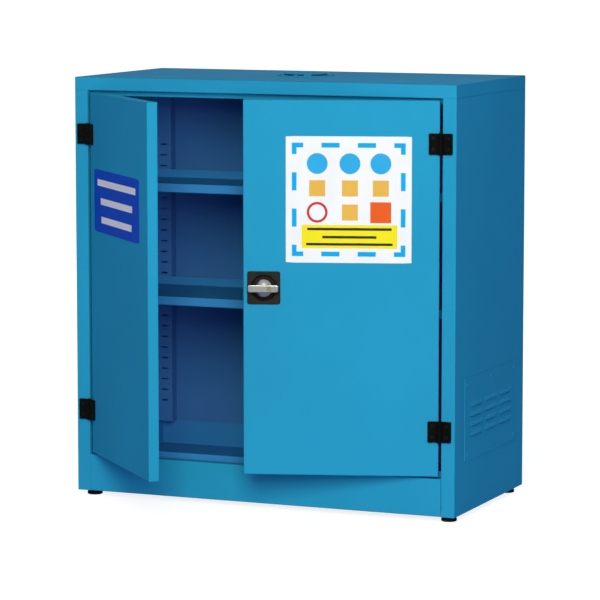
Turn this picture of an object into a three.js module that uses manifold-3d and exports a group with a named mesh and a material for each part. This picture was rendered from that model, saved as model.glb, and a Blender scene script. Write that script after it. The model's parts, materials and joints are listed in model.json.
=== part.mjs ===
// Sheet-steel chemical storage cabinet with two hinged doors, tray shelves and a sump.
// Lengths are millimetres. X runs to the right, Y from the front to the back, Z up.
import * as THREE from "three";
import { mergeVertices } from "three/addons/utils/BufferGeometryUtils.js";
import Module from "manifold-3d";

const wasm = await Module();
wasm.setup();

// Casing
const casingWidth = 1000;
const casingDepth = 500;
const casingHeight = 1030;
const sheet = 1.2; // thickness of the casing and door sheet
const foldRadius = 1.3; // inside radius of a fold in that sheet
const lap = 0.2; // gap between casing sheets that lie on each other
const turnedGap = 0.3; // gap between pieces that swing or turn together
const cutOverrun = 4; // how far a cutting solid runs past what it cuts

// Side panels
const stileWidth = 35;
const stileLip = 28; // depth of the fold behind the stile
const rearReturn = 25;
const baseFlange = 40;
const tongueHeight = 24; // joggled strip that goes up inside the roof skirt

// Roof panel
const skirtHeight = 32;
const doorStopDepth = 28; // from the front plane to the lip that stops the doors
const doorStopDrop = 14;
const ventHoleRadius = 50;
const ventCentreFromFront = 280;

// Plinth and base rails
const plinthHeight = 91.4;
const plinthLip = 26;
const plinthFoot = 25;
const railSheet = 2;
const railLedge = 24;
const railInset = 54; // from the casing side to the rail's upright leg
const railFoldRadius = 2;

// Sump tray
const sumpFloorHeight = 43;
const sumpRimHeight = 105.5;
const sumpSetback = 30; // from the front plane to the front rim

// Slotted uprights
const uprightDepth = 29;
const uprightFrontWidth = 33.4;
const uprightRearWidth = 41;
const slotCount = 25;
const slotPitch = 28;
const firstSlotHeight = 161.6;
const slotWidth = 17;
const slotHeight = 4;
const slotFromSide = 20.5; // from the casing side to the middle of a slot

// Shelves and shelf clips
const shelfRim = 21.5;
const shelfEndGap = 2.5; // on each side of a shelf
const upperShelfSlot = 20; // number of the slot that carries the shelf, counted from zero
const lowerShelfSlot = 10;
const clipWidth = 15;
const clipSheet = 2;
const clipFoldRadius = 0.5;
const clipRise = 25.9; // from the slot to the shelf floor
const clipReach = 22;
const clipHookDrop = 9;

// Doors
const doorThickness = 26;
const doorLip = 15;
const doorSideGap = 4;
const doorMiddleGap = 4;
const meetingLineOffset = 6.5; // how far left of the middle the doors meet, so the locked door is wider
const doorTopGap = 5;
const doorBottomGap = 5.6;
const leftDoorOpening = 46.5; // degrees open at rest
const rightDoorOpening = 18;
const stiffenerWidth = 60;
const stiffenerDepth = 15;
const stiffenerFlange = 16;
const stiffenerEndGap = 30;

// Hinges
const hingeHeight = 50;
const hingeLeafWidth = 28;
const hingeLeafThickness = 6;
const hingeCornerRadius = 1.5;
const pinStand = 7; // from the pin's axis to the door and stile faces behind it
const knuckleShare = 0.34; // share of the hinge's height in the middle knuckle
const hingePinRadius = 3;
const hingePinHead = 4.4;
const hingePinHeadHeight = 1.6;
const pinBoreGap = 0.15;
const upperHingeFromTop = 102.5;
const lowerHingeFromBottom = 108.9;

// Lock dish and handle
const lockHeight = 546.3; // from the casing's bottom edge to the lock's middle
const lockFromFreeEdge = 49;
const dishSide = 79;
const dishCornerRadius = 5;
const dishFace = 3; // how far the dish stands out of the door
const dishDepth = 14;
const dishFloor = 2;
const dishRimRadius = 33;
const recessRadius = 31;
const recessFloorRadius = 28;
const cutoutGap = 0.6;
const gripLength = 73;
const gripHeight = 18;
const gripCornerRadius = 4;
const gripFront = 24; // from the door face to the grip's front
const gripDepth = 13;
const gripEdgeRadius = 2.5;
const domeRadius = 22;
const domeFront = 17;
const domeBack = 5;
const domeRimTilt = 50; // degrees, how far the dome's surface leans over at its rim
const hubRadius = 10;
const keyPlugRadius = 5;
const keyPlugOffset = 15;
const keyPlugDepth = 9;
const keyPlugStand = 0.8;
const keySlotWidth = 1;
const keySlotLength = 6.5;

// Gearbox behind the dish
const gearModule = 1;
const pinionTeeth = 23;
const gearBacklash = 0.24;
const tipRelief = 0.1;
const rootClearance = 0.25;
const meshPitches = 2.5; // tooth pitches in mesh on each side of the pinion's middle
const pressureAngle = 20; // degrees
const handleTurn = 90; // degrees
const pinionWidth = 5;
const rackWidth = 4.6;
const rackBack = 5;
const shankHalfWidth = 2.2;
const rodRadius = 4;
const rodEndGap = 2; // from the rod's tip to the door edge at rest
const rodTipTaper = 3;
const rodBoreGap = 0.8;
const strikeBoreGap = 1.6;
const spindleSide = 8;
const spindleGap = 0.3;
const spindleFront = 8; // how far the spindle reaches in front of the door face
const bearingRadius = 7;
const gearboxHalfWidth = 31;
const gearboxHalfHeight = 36;
const guideWidth = 22;
const guideHeight = 12;
const guideFromEdge = 34;
const camThickness = 3;
const camGap = 1; // from the door's inner face to the cam
const camHubRadius = 13;
const camArmWidth = 16;
const camArmCorner = 7.6;
const camLap = 12; // how far the turned cam reaches behind the other door
const nutWidth = 13;
const nutHeight = 6;
const nutSides = 6;

// Side vents and roof outlet
const ventPlateDepth = 368;
const ventPlateHeight = 202;
const ventPlateCorner = 4;
const ventPlateFromFront = 66;
const ventPlateBottom = 124;
const louvreColumns = 3;
const louvreRows = 4;
const louvreLength = 92;
const louvreColumnPitch = 105.5;
const louvreRowPitch = 23.7;
const louvreHeight = 9;
const louvreRise = 3.5;
const louvreEndSlope = 14;
const lowestLouvreHeight = 183; // from the casing's bottom edge
const outletFlangeRadius = 72;
const outletFlangeThickness = 1.6;
const outletCapRadius = 56;
const outletCapHeight = 5;
const outletSlotRadius = 63.5;
const outletSlotWidth = 4;
const outletSlotCount = 3;
const outletSlotSweep = 58; // degrees
const outletSlotTurn = 90; // degrees, where the first slot lies

// Levelling feet
const footRadius = 19;
const footHeight = 15;
const footPadHeight = 8;
const footHubRadius = 9;
const footEdge = 2;
const footStemRadius = 4;
const footStemRise = 20;
const footFromSide = 28;
const footFromFront = 40;
const footBoreGap = 0.2;
const footHoleGap = 2;

// Facets
const foldSteps = 2; // facets in a sheet fold
const roundSteps = 12; // facets round a small shaft or bore
const padSteps = 16; // facets round a foot or the cam's hub
const wideSteps = 32; // facets round a wide ring
const cornerSteps = 3; // facets in a rounded corner
const flankSteps = 2; // facets in a tooth flank
const domeSteps = 5; // facets from the dome's top to its edge

// Places worked out from the sizes above
const halfWidth = casingWidth / 2;
const insideHalfWidth = halfWidth - sheet - lap;
const openingTop = casingHeight - skirtHeight;
const evenDoorWidth = halfWidth - stileWidth - doorSideGap - doorMiddleGap / 2;
const doorWidth = (side) => evenDoorWidth + side * meetingLineOffset; // side is 1 for the right door
const doorTop = openingTop - doorTopGap;
const doorBottom = plinthHeight + doorBottomGap;
const hingeX = halfWidth - stileWidth - doorSideGap / 2;
const hingeEdge = doorSideGap / 2; // from the pin to the door's edge
const lockX = hingeEdge + doorWidth(1) - lockFromFreeEdge; // from the pin to the lock
const pinionRadius = (gearModule * pinionTeeth) / 2;
const toothPitch = Math.PI * gearModule;
const rodTravel = pinionRadius * THREE.MathUtils.degToRad(handleTurn);
const rackBar = 2 * gearModule + rackBack;
const rodX = pinionRadius - gearModule + rackBar / 2; // from the spindle to a rod's axis
const gearboxFront = dishDepth + turnedGap;
const pinionFront = gearboxFront + sheet + turnedGap;
const rodY = pinionFront + pinionWidth / 2; // from the door face to a rod's axis
const coverBack = pinionFront + pinionWidth + turnedGap + sheet;
const camFront = doorThickness + camGap;
const frontUprightFace = stileLip + lap + uprightDepth;
const rearUprightFace = casingDepth - 2 * (sheet + lap) - uprightDepth;
const shelfFront = frontUprightFace + clipSheet + 2 * lap;
const shelfRear = rearUprightFace - clipSheet - 2 * lap;
const lowerRackPhase = (pinionTeeth % 2) / 2; // with an odd count the pinion has a gap there, not a tooth
const shelfFloor = (slot) => firstSlotHeight + slot * slotPitch + clipRise;
const louvreBottom = (row) => lowestLouvreHeight + row * louvreRowPitch;
const louvreMiddle = (column) =>
  ventPlateFromFront + ventPlateDepth / 2 + (column - (louvreColumns - 1) / 2) * louvreColumnPitch;

// Finishes
const finish = (color, roughness, metalness) => ({ color, roughness, metalness });
const bluePaint = finish(0x2a94c8, 0.42, 0.1);
const innerPaint = finish(0x24467c, 0.55, 0.1);
const shelfPaint = finish(0x2c7ab4, 0.45, 0.1);
const zincPlate = finish(0xb9bcbf, 0.38, 0.9);
const chromePlate = finish(0xd8dadc, 0.15, 1);
const blackPlastic = finish(0x1c1c1b, 0.5, 0);
const blackRubber = finish(0x141414, 0.85, 0);

// Closed geometry as a solid that can be joined and cut.
function solidOf(geometry) {
  const bare = geometry.clone();
  bare.deleteAttribute("normal");
  bare.deleteAttribute("uv");
  const merged = mergeVertices(bare);
  return new wasm.Manifold(
    new wasm.Mesh({
      numProp: 3,
      vertProperties: merged.attributes.position.array,
      triVerts: new Uint32Array(merged.index.array),
    }),
  );
}

// A solid as a named mesh with its own material.
function meshOf(name, solid, look) {
  const { vertProperties, triVerts } = solid.getMesh();
  const welded = new THREE.BufferGeometry();
  welded.setAttribute("position", new THREE.BufferAttribute(vertProperties, 3));
  welded.setIndex(new THREE.BufferAttribute(triVerts, 1));
  const geometry = welded.toNonIndexed();
  geometry.computeVertexNormals();
  const mesh = new THREE.Mesh(geometry, new THREE.MeshStandardMaterial(look));
  mesh.name = name;
  return mesh;
}

const joined = (...solids) => solids.reduce((whole, solid) => whole.add(solid));
const shared = (...solids) => solids.reduce((whole, solid) => whole.intersect(solid));
const cut = (solid, ...tools) => tools.reduce((left, tool) => left.subtract(tool), solid);

// A block between two corners.
function block(low, high) {
  const geometry = new THREE.BoxGeometry(...high.map((value, i) => value - low[i]));
  return solidOf(geometry.translate(...high.map((value, i) => (value + low[i]) / 2)));
}

// An outline pushed along one axis. Along x it is drawn in (y, z), along y in (x, z), along z in (x, y).
function prism(axis, outline, from, to) {
  const shape = outline instanceof THREE.Shape ? outline : new THREE.Shape(outline);
  const depth = to - from;
  const geometry = new THREE.ExtrudeGeometry(shape, {
    depth,
    bevelEnabled: false,
    curveSegments: cornerSteps,
  });
  const [x, y, z] = [0, 1, 2].map((i) => new THREE.Vector3().setComponent(i, 1));
  if (axis === "x") {
    geometry.applyMatrix4(new THREE.Matrix4().makeBasis(y, z, x));
    geometry.translate(from, 0, 0);
  } else if (axis === "y") {
    geometry.applyMatrix4(new THREE.Matrix4().makeBasis(x, z, y.negate()));
    geometry.translate(0, to, 0);
  } else {
    geometry.translate(0, 0, from);
  }
  return solidOf(geometry);
}

// A profile of [radius, height] points turned about the y or z axis through a centre.
function turned(axis, centre, profile, steps = roundSteps) {
  const points = profile.map(([radius, height]) => new THREE.Vector2(radius, height));
  const geometry = new THREE.LatheGeometry(points, steps);
  if (axis === "z") geometry.rotateX(Math.PI / 2);
  return solidOf(geometry.translate(...centre));
}

// A plain round bar along the y or z axis, between two heights on it.
function bar(axis, centre, radius, from, to, steps = roundSteps) {
  return turned(axis, centre, [[0, from], [radius, from], [radius, to], [0, to]], steps);
}

// A round cutting bar that stands on end through a sheet at a point.
function hole([x, y, z], radius, steps = roundSteps) {
  return bar("z", [x, y, 0], radius, z - cutOverrun, z + cutOverrun, steps);
}

// Rounded rectangle between two corners.
function roundedRectangle(x0, y0, x1, y1, radius) {
  const shape = new THREE.Shape();
  shape.moveTo(x0 + radius, y0);
  shape.lineTo(x1 - radius, y0);
  shape.absarc(x1 - radius, y0 + radius, radius, -Math.PI / 2, 0);
  shape.lineTo(x1, y1 - radius);
  shape.absarc(x1 - radius, y1 - radius, radius, 0, Math.PI / 2);
  shape.lineTo(x0 + radius, y1);
  shape.absarc(x0 + radius, y1 - radius, radius, Math.PI / 2, Math.PI);
  shape.lineTo(x0, y0 + radius);
  shape.absarc(x0 + radius, y0 + radius, radius, Math.PI, 1.5 * Math.PI);
  return shape;
}

// Rounded rectangle whose corners have the few facets of a sheet fold.
function foldedRectangle(x0, y0, x1, y1, radius) {
  const corners = [[x1, y0, -1, 1], [x1, y1, -1, -1], [x0, y1, 1, -1], [x0, y0, 1, 1]];
  const points = [];
  corners.forEach(([x, y, towardX, towardY], i) => {
    for (let step = 0; step <= foldSteps; step++) {
      const angle = ((i - 1 + step / foldSteps) * Math.PI) / 2;
      points.push(new THREE.Vector2(
        x + towardX * radius + radius * Math.cos(angle),
        y + towardY * radius + radius * Math.sin(angle),
      ));
    }
  });
  return points;
}

// Block with all twelve edges rounded as a folded pan's are.
function softBlock([x0, y0, z0], [x1, y1, z1], radius) {
  return shared(
    prism("x", foldedRectangle(y0, z0, y1, z1, radius), x0, x1),
    prism("y", foldedRectangle(x0, z0, x1, z1, radius), y0, y1),
    prism("z", foldedRectangle(x0, y0, x1, y1, radius), z0, z1),
  );
}

// Folded pan between two corners, open on one side of one axis: side is 1 for its high side.
// With a lip, the open side keeps a border of that width.
function pan(low, high, axis, side, lip = 0) {
  const outsideRadius = foldRadius + sheet;
  const inLow = low.map((value) => value + sheet);
  const inHigh = high.map((value) => value - sheet);
  if (lip) {
    const shell = cut(softBlock(low, high, outsideRadius), softBlock(inLow, inHigh, foldRadius));
    const windowLow = low.map((value) => value + lip);
    const windowHigh = high.map((value) => value - lip);
    windowLow[axis] = side > 0 ? inHigh[axis] - sheet : low[axis] - cutOverrun;
    windowHigh[axis] = side > 0 ? high[axis] + cutOverrun : inLow[axis] + sheet;
    return cut(shell, block(windowLow, windowHigh));
  }
  const [longLow, longHigh] = [low.slice(), high.slice()];
  const open = side > 0 ? [longHigh, inHigh, high] : [longLow, inLow, low];
  open[0][axis] = open[2][axis] + side * 2 * outsideRadius;
  open[1][axis] = open[2][axis] + side * (cutOverrun + foldRadius);
  const outer = shared(softBlock(longLow, longHigh, outsideRadius), block(low, high));
  return cut(outer, softBlock(inLow, inHigh, foldRadius));
}

// Outline of a bent strip. The path is one face of it, and the metal lies to the left of the path.
function foldOutline(path, thickness, insideRadius) {
  const points = path.map(([x, y]) => new THREE.Vector2(x, y));
  const leftOf = (direction) => new THREE.Vector2(-direction.y, direction.x);
  const along = (from, to) => to.clone().sub(from).normalize();
  const near = [];
  const far = [];
  points.forEach((point, i) => {
    const first = i === 0;
    const last = i === points.length - 1;
    if (first || last) {
      const direction = first ? along(point, points[1]) : along(points[i - 1], point);
      near.push(point);
      far.push(point.clone().addScaledVector(leftOf(direction), thickness));
      return;
    }
    const before = along(points[i - 1], point);
    const after = along(point, points[i + 1]);
    const turn = Math.atan2(before.cross(after), before.dot(after));
    const side = Math.sign(turn);
    const nearRadius = side > 0 ? insideRadius + thickness : insideRadius;
    const farRadius = side > 0 ? insideRadius : insideRadius + thickness;
    const start = point.clone().addScaledVector(before, -nearRadius * Math.tan(Math.abs(turn) / 2));
    const centre = start.clone().addScaledVector(leftOf(before), side * nearRadius);
    for (let step = 0; step <= foldSteps; step++) {
      const spoke = start.clone().sub(centre).rotateAround(new THREE.Vector2(), (turn * step) / foldSteps);
      near.push(centre.clone().add(spoke));
      far.push(centre.clone().addScaledVector(spoke, farRadius / nearRadius));
    }
  });
  return [...near, ...far.reverse()];
}

// Casing sheets

function sidePanel() {
  const outline = foldOutline(
    [
      [halfWidth - stileWidth, stileLip],
      [halfWidth - stileWidth, 0],
      [halfWidth, 0],
      [halfWidth, casingDepth],
      [halfWidth - rearReturn, casingDepth],
    ],
    sheet,
    foldRadius,
  );
  const tongueOut = halfWidth - sheet - lap;
  const tongueIn = tongueOut - sheet;
  const [tongueFront, tongueRear] = [stileLip, casingDepth - rearReturn];
  const base = block(
    [halfWidth - baseFlange, plinthFoot + lap, 0],
    [halfWidth - sheet / 2, casingDepth - sheet / 2, sheet],
  );
  let panel = joined(
    prism("z", outline, 0, openingTop),
    base,
    block([tongueIn, tongueFront, openingTop - sheet], [halfWidth - sheet / 2, tongueRear, openingTop]),
    block([tongueIn, tongueFront, openingTop - sheet], [tongueOut, tongueRear, openingTop + tongueHeight]),
  );
  for (let column = 0; column < louvreColumns; column++) {
    for (let row = 0; row < louvreRows; row++) {
      const [y, z] = [louvreMiddle(column), louvreBottom(row)];
      const reach = louvreLength / 2 - louvreEndSlope;
      panel = cut(panel, block(
        [halfWidth - sheet - cutOverrun, y - reach, z],
        [halfWidth + cutOverrun, y + reach, z + louvreHeight - sheet],
      ));
    }
  }
  const holeRadius = footStemRadius + footHoleGap;
  for (const y of [footFromFront, casingDepth - footFromFront]) {
    panel = cut(panel, bar("z", [halfWidth - footFromSide, y, 0], holeRadius, -cutOverrun, sheet + lap));
  }
  return panel;
}

function roofPanel() {
  const cap = pan([-halfWidth, 0, openingTop], [halfWidth, casingDepth, casingHeight], 2, -1);
  const lipHalf = halfWidth - stileWidth - lap;
  const lip = foldOutline(
    [
      [0, openingTop + skirtHeight / 2],
      [0, openingTop],
      [doorStopDepth, openingTop],
      [doorStopDepth, openingTop - doorStopDrop],
    ],
    sheet,
    foldRadius,
  );
  return cut(
    joined(cap, prism("x", lip, -lipHalf, lipHalf)),
    hole([0, ventCentreFromFront, casingHeight], ventHoleRadius, wideSteps),
    hole([hingeX - lockX - rodX, rodY, openingTop], rodRadius + strikeBoreGap),
  );
}

function backPanel() {
  const half = insideHalfWidth - sheet - lap;
  const face = casingDepth - sheet - lap;
  return block([-half, face - sheet, sheet + lap], [half, face, casingHeight - sheet - foldRadius]);
}

function plinthPanel() {
  const half = halfWidth - stileWidth - lap;
  const outline = foldOutline(
    [[plinthLip, plinthHeight], [0, plinthHeight], [0, 0], [plinthFoot, 0]],
    sheet,
    foldRadius,
  );
  return cut(
    prism("x", outline, -half, half),
    hole([hingeX - lockX + rodX, rodY, plinthHeight], rodRadius + strikeBoreGap),
  );
}

function sumpTray() {
  return pan(
    [-insideHalfWidth, sumpSetback, sumpFloorHeight],
    [insideHalfWidth, casingDepth - 2 * (sheet + lap), sumpRimHeight],
    2,
    1,
  );
}

// Rail that carries the sump on its ledge and the feet in its welded nuts.
function baseRail() {
  const legX = halfWidth - railInset;
  const ledgeTop = sumpFloorHeight - lap;
  const webBottom = sheet + lap;
  const outline = foldOutline(
    [
      [legX - railLedge, ledgeTop - railSheet],
      [legX, ledgeTop - railSheet],
      [legX, webBottom],
      [insideHalfWidth, webBottom],
    ],
    railSheet,
    railFoldRadius,
  );
  let rail = prism("y", outline, sumpSetback, casingDepth - sumpSetback);
  for (const y of [footFromFront, casingDepth - footFromFront]) {
    const x = halfWidth - footFromSide;
    const nutTop = webBottom + railSheet + nutHeight;
    const nut = bar("z", [x, y, 0], nutWidth / Math.sqrt(3), webBottom, nutTop, nutSides);
    rail = cut(rail.add(nut), bar("z", [x, y, 0], footStemRadius + footBoreGap, 0, sumpFloorHeight));
  }
  return rail;
}

// Slotted upright. Facing is 1 where the slotted face looks to the back, -1 where it looks forward.
function upright(facing, slottedFace, width) {
  const inner = halfWidth - width;
  const back = slottedFace - facing * uprightDepth;
  const path = facing > 0
    ? [[insideHalfWidth, slottedFace], [inner, slottedFace], [inner, back], [insideHalfWidth, back]]
    : [[inner, back], [inner, slottedFace], [insideHalfWidth, slottedFace]];
  const outline = foldOutline(path, sheet, foldRadius);
  const slotX = halfWidth - slotFromSide;
  let post = prism("z", outline, sumpRimHeight + lap, openingTop - sheet - lap);
  for (let slot = 0; slot < slotCount; slot++) {
    const z = firstSlotHeight + slot * slotPitch;
    post = cut(post, block(
      [slotX - slotWidth / 2, slottedFace - sheet - lap, z - slotHeight / 2],
      [slotX + slotWidth / 2, slottedFace + sheet + lap, z + slotHeight / 2],
    ));
  }
  return post;
}

function shelfTray(slot) {
  const half = insideHalfWidth - shelfEndGap;
  const floor = shelfFloor(slot);
  return pan([-half, shelfFront, floor], [half, shelfRear, floor + shelfRim], 2, 1);
}

// Bent clip that hooks through a slot and puts its tongue under a shelf.
function shelfClip(facing, slottedFace, slot) {
  const top = shelfFloor(slot) - lap;
  const hookTop = firstSlotHeight + slot * slotPitch + clipSheet / 2;
  const hookBack = -sheet - lap - clipSheet;
  const outline = foldOutline(
    [
      [lap + clipReach, top],
      [lap, top],
      [lap, hookTop],
      [hookBack, hookTop],
      [hookBack, hookTop - clipHookDrop],
    ],
    clipSheet,
    clipFoldRadius,
  );
  const placed = outline.map(({ x, y }) => new THREE.Vector2(slottedFace + facing * x, y));
  const middle = halfWidth - slotFromSide;
  return prism("x", placed, middle - clipWidth / 2, middle + clipWidth / 2);
}

// Side vents and roof outlet

// Half-round hood of a louvre, or with an inset the hollow under it, open at its lower edge.
function louvreHood(middle, bottom, face, inset) {
  const rise = louvreRise + sheet - inset;
  const height = louvreHeight - inset;
  const reach = louvreLength / 2 - inset;
  const back = inset ? -sheet - cutOverrun : -sheet / 2;
  const under = bottom - cutOverrun;
  const section = [[face + back, bottom]];
  if (inset) section.push([face + lap, bottom], [face + lap, under], [face + rise - sheet, under]);
  for (let step = 0; step <= cornerSteps; step++) {
    const angle = (step / cornerSteps) * (Math.PI / 2);
    section.push([face + (rise - sheet) * Math.cos(angle), bottom + height * Math.sin(angle)]);
  }
  section.push([face + back, bottom + height]);
  const plan = [
    [face + back, middle - reach],
    [face, middle - reach],
    [face + louvreRise, middle - reach + louvreEndSlope],
    [face + louvreRise, middle + reach - louvreEndSlope],
    [face, middle + reach],
    [face + back, middle + reach],
  ];
  return shared(
    prism("y", section.map(([x, z]) => new THREE.Vector2(x, z)), middle - reach, middle + reach),
    prism("z", plan.map(([x, y]) => new THREE.Vector2(x, y)), under, bottom + height),
  );
}

function ventCover() {
  const back = halfWidth + lap;
  const face = back + sheet;
  const outline = roundedRectangle(
    ventPlateFromFront,
    ventPlateBottom,
    ventPlateFromFront + ventPlateDepth,
    ventPlateBottom + ventPlateHeight,
    ventPlateCorner,
  );
  let cover = prism("x", outline, back, face);
  for (let column = 0; column < louvreColumns; column++) {
    for (let row = 0; row < louvreRows; row++) {
      const [middle, bottom] = [louvreMiddle(column), louvreBottom(row)];
      cover = cut(cover.add(louvreHood(middle, bottom, face, 0)), louvreHood(middle, bottom, face, sheet));
    }
  }
  return cover;
}

// Pressed round cap over the roof's outlet hole, with curved slots in its flange.
function outletCover() {
  const base = casingHeight + lap;
  const wall = outletFlangeThickness;
  const centre = [0, ventCentreFromFront, 0];
  let cover = turned("z", centre, [
    [0, base + outletCapHeight - wall],
    [outletCapRadius - wall, base + outletCapHeight - wall],
    [outletCapRadius, base],
    [outletFlangeRadius, base],
    [outletFlangeRadius, base + wall],
    [outletCapRadius + wall, base + wall],
    [outletCapRadius, base + outletCapHeight],
    [0, base + outletCapHeight],
  ], wideSteps);
  for (let slot = 0; slot < outletSlotCount; slot++) {
    const middle = THREE.MathUtils.degToRad(outletSlotTurn) + (2 * Math.PI * slot) / outletSlotCount;
    const half = THREE.MathUtils.degToRad(outletSlotSweep / 2);
    const [from, to] = [middle - half, middle + half];
    const outline = new THREE.Shape();
    outline.absarc(0, ventCentreFromFront, outletSlotRadius + outletSlotWidth / 2, from, to);
    outline.absarc(0, ventCentreFromFront, outletSlotRadius - outletSlotWidth / 2, to, from, true);
    cover = cut(cover, prism("z", outline, base - cutOverrun, base + wall + cutOverrun));
  }
  return cover;
}

// Levelling foot, with its stem up in the rail's nut.
function levellingFoot() {
  return turned("z", [0, 0, 0], [
    [0, -footHeight],
    [footRadius - footEdge, -footHeight],
    [footRadius, -footHeight + footEdge],
    [footRadius, -footHeight + footPadHeight - footEdge],
    [footRadius - footEdge, -footHeight + footPadHeight],
    [footHubRadius, -footHeight + footPadHeight],
    [footHubRadius, -turnedGap],
    [footStemRadius, -turnedGap],
    [footStemRadius, footStemRise],
    [0, footStemRise],
  ], padSteps);
}

// Hinges. A leaf lies in front of a face, and its knuckles are round the pin at the origin.

function hingeLeaf(onDoor) {
  const back = pinStand - turnedGap;
  const half = hingeHeight / 2;
  const middle = (hingeHeight * knuckleShare) / 2;
  const knuckleRadius = pinStand - turnedGap;
  const outline = roundedRectangle(-hingeLeafWidth, -half, hingeLeafWidth, half, hingeCornerRadius);
  const plate = shared(
    block([0, back - hingeLeafThickness, -half], [hingeLeafWidth, back, half]),
    prism("y", outline, -back, back + cutOverrun),
  );
  const clear = knuckleRadius + turnedGap;
  const bands = onDoor
    ? [[-middle + turnedGap / 2, middle - turnedGap / 2]]
    : [[-half, -middle - turnedGap / 2], [middle + turnedGap / 2, half]];
  const cleared = onDoor
    ? [[-half - cutOverrun, -middle + turnedGap / 2], [middle - turnedGap / 2, half + cutOverrun]]
    : [[-middle - turnedGap / 2, middle + turnedGap / 2]];
  const notches = cleared.map(([low, high]) => block([-clear, -clear, low], [clear, clear + back, high]));
  const knuckles = bands.map(([low, high]) => bar("z", [0, 0, 0], knuckleRadius, low, high));
  const bore = bar("z", [0, 0, 0], hingePinRadius + pinBoreGap, -half - cutOverrun, half + cutOverrun);
  return cut(joined(cut(plate, ...notches), ...knuckles), bore);
}

function hingePin() {
  const half = hingeHeight / 2 + lap;
  return turned("z", [0, 0, 0], [
    [0, -half - hingePinHeadHeight],
    [hingePinHead, -half - hingePinHeadHeight],
    [hingePinHead, -half],
    [hingePinRadius, -half],
    [hingePinRadius, half],
    [hingePinHead, half],
    [hingePinHead, half + hingePinHeadHeight],
    [0, half + hingePinHeadHeight],
  ]);
}

// Doors. In a door's frame x runs along the door from the pin, towards lower x on the right door,
// and y from its outer face inwards. Side is 1 for the right door.

function doorPanel(side) {
  const edges = [-side * hingeEdge, -side * (hingeEdge + doorWidth(side))];
  return pan(
    [Math.min(...edges), 0, doorBottom],
    [Math.max(...edges), doorThickness, doorTop],
    1,
    1,
    doorLip,
  );
}

// Right door with the dish's cut-out and the holes for the two rods.
function lockedDoorPanel() {
  const cutoutRadius = dishRimRadius + cutoutGap;
  return cut(
    doorPanel(1),
    bar("y", [-lockX, 0, lockHeight], cutoutRadius, -cutOverrun, sheet + cutOverrun, wideSteps),
    hole([-lockX - rodX, rodY, doorTop], rodRadius + rodBoreGap),
    hole([-lockX + rodX, rodY, doorBottom], rodRadius + rodBoreGap),
  );
}

// Hat-section stiffener down the middle of a door's inside.
function doorStiffener(side) {
  const middle = -side * (hingeEdge + doorWidth(side) / 2);
  const half = stiffenerWidth / 2;
  const seat = sheet + turnedGap;
  const crown = seat + stiffenerDepth - sheet;
  const outline = foldOutline(
    [
      [middle - half - stiffenerFlange, seat],
      [middle - half, seat],
      [middle - half, crown],
      [middle + half, crown],
      [middle + half, seat],
      [middle + half + stiffenerFlange, seat],
    ],
    sheet,
    foldRadius,
  );
  return prism("z", outline, doorBottom + stiffenerEndGap, doorTop - stiffenerEndGap);
}

// Lock. Its pieces are drawn round the spindle, with y from the door's outer face inwards.

function lockDish() {
  const half = dishSide / 2;
  return cut(
    joined(
      prism("y", roundedRectangle(-half, -half, half, half, dishCornerRadius), -dishFace, -turnedGap),
      bar("y", [0, 0, 0], dishRimRadius, -turnedGap - sheet, dishDepth, wideSteps),
    ),
    turned("y", [0, 0, 0], [
      [0, -dishFace - cutOverrun],
      [recessRadius, -dishFace - cutOverrun],
      [recessRadius, -dishFace],
      [recessFloorRadius, dishDepth - dishFloor],
      [0, dishDepth - dishFloor],
    ], wideSteps),
    bar("y", [0, 0, 0], bearingRadius, 0, dishDepth + cutOverrun),
  );
}

// T-handle: a grip across a dome, with a hub on the dish floor and pockets for spindle and key.
function lockHandle() {
  const [halfLength, halfHeight] = [gripLength / 2, gripHeight / 2];
  const gripBack = gripDepth - gripFront;
  const front = roundedRectangle(-halfLength, -halfHeight, halfLength, halfHeight, gripCornerRadius);
  const end = foldedRectangle(-gripFront, -halfHeight, gripBack, halfHeight, gripEdgeRadius);
  const plan = foldedRectangle(-halfLength, -gripFront, halfLength, gripBack, gripEdgeRadius);
  const grip = shared(
    prism("y", front, -gripFront, gripBack),
    prism("x", end, -halfLength, halfLength),
    prism("z", plan, -halfHeight, halfHeight),
  );
  const rimTilt = THREE.MathUtils.degToRad(domeRimTilt);
  const curveRadius = domeRadius / Math.sin(rimTilt);
  const profile = [];
  for (let step = 0; step <= domeSteps; step++) {
    const angle = (step / domeSteps) * rimTilt;
    profile.push([curveRadius * Math.sin(angle), curveRadius * (1 - Math.cos(angle)) - domeFront]);
  }
  profile.push([domeRadius, domeBack]);
  profile.push([hubRadius, domeBack]);
  profile.push([hubRadius, dishDepth - dishFloor - turnedGap]);
  profile.push([0, dishDepth - dishFloor - turnedGap]);
  const side = spindleSide / 2 + spindleGap;
  return cut(
    joined(grip, turned("y", [0, 0, 0], profile, wideSteps)),
    block([-side, -spindleFront - spindleGap, -side], [side, dishDepth, side]),
    bar(
      "y",
      [keyPlugOffset, 0, 0],
      keyPlugRadius + turnedGap,
      -gripFront - cutOverrun,
      keyPlugDepth - gripFront + turnedGap,
    ),
  );
}

function keyPlug() {
  const front = -gripFront - keyPlugStand;
  const [halfLength, halfWidth] = [keySlotLength / 2, keySlotWidth / 2];
  return cut(
    bar("y", [0, 0, 0], keyPlugRadius, front, keyPlugDepth - gripFront),
    block([-halfWidth, front - cutOverrun, -halfLength], [halfWidth, front + keyPlugDepth / 2, halfLength]),
  );
}

// Square spindle with a round end for the nut.
function lockSpindle() {
  const side = spindleSide / 2;
  const camBack = camFront + camThickness;
  return joined(
    block([-side, -spindleFront, -side], [side, camBack, side]),
    bar("y", [0, 0, 0], side - spindleGap, camBack - sheet, camBack + turnedGap + nutHeight + sheet),
  );
}

// Rack-and-pinion bolt work

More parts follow.
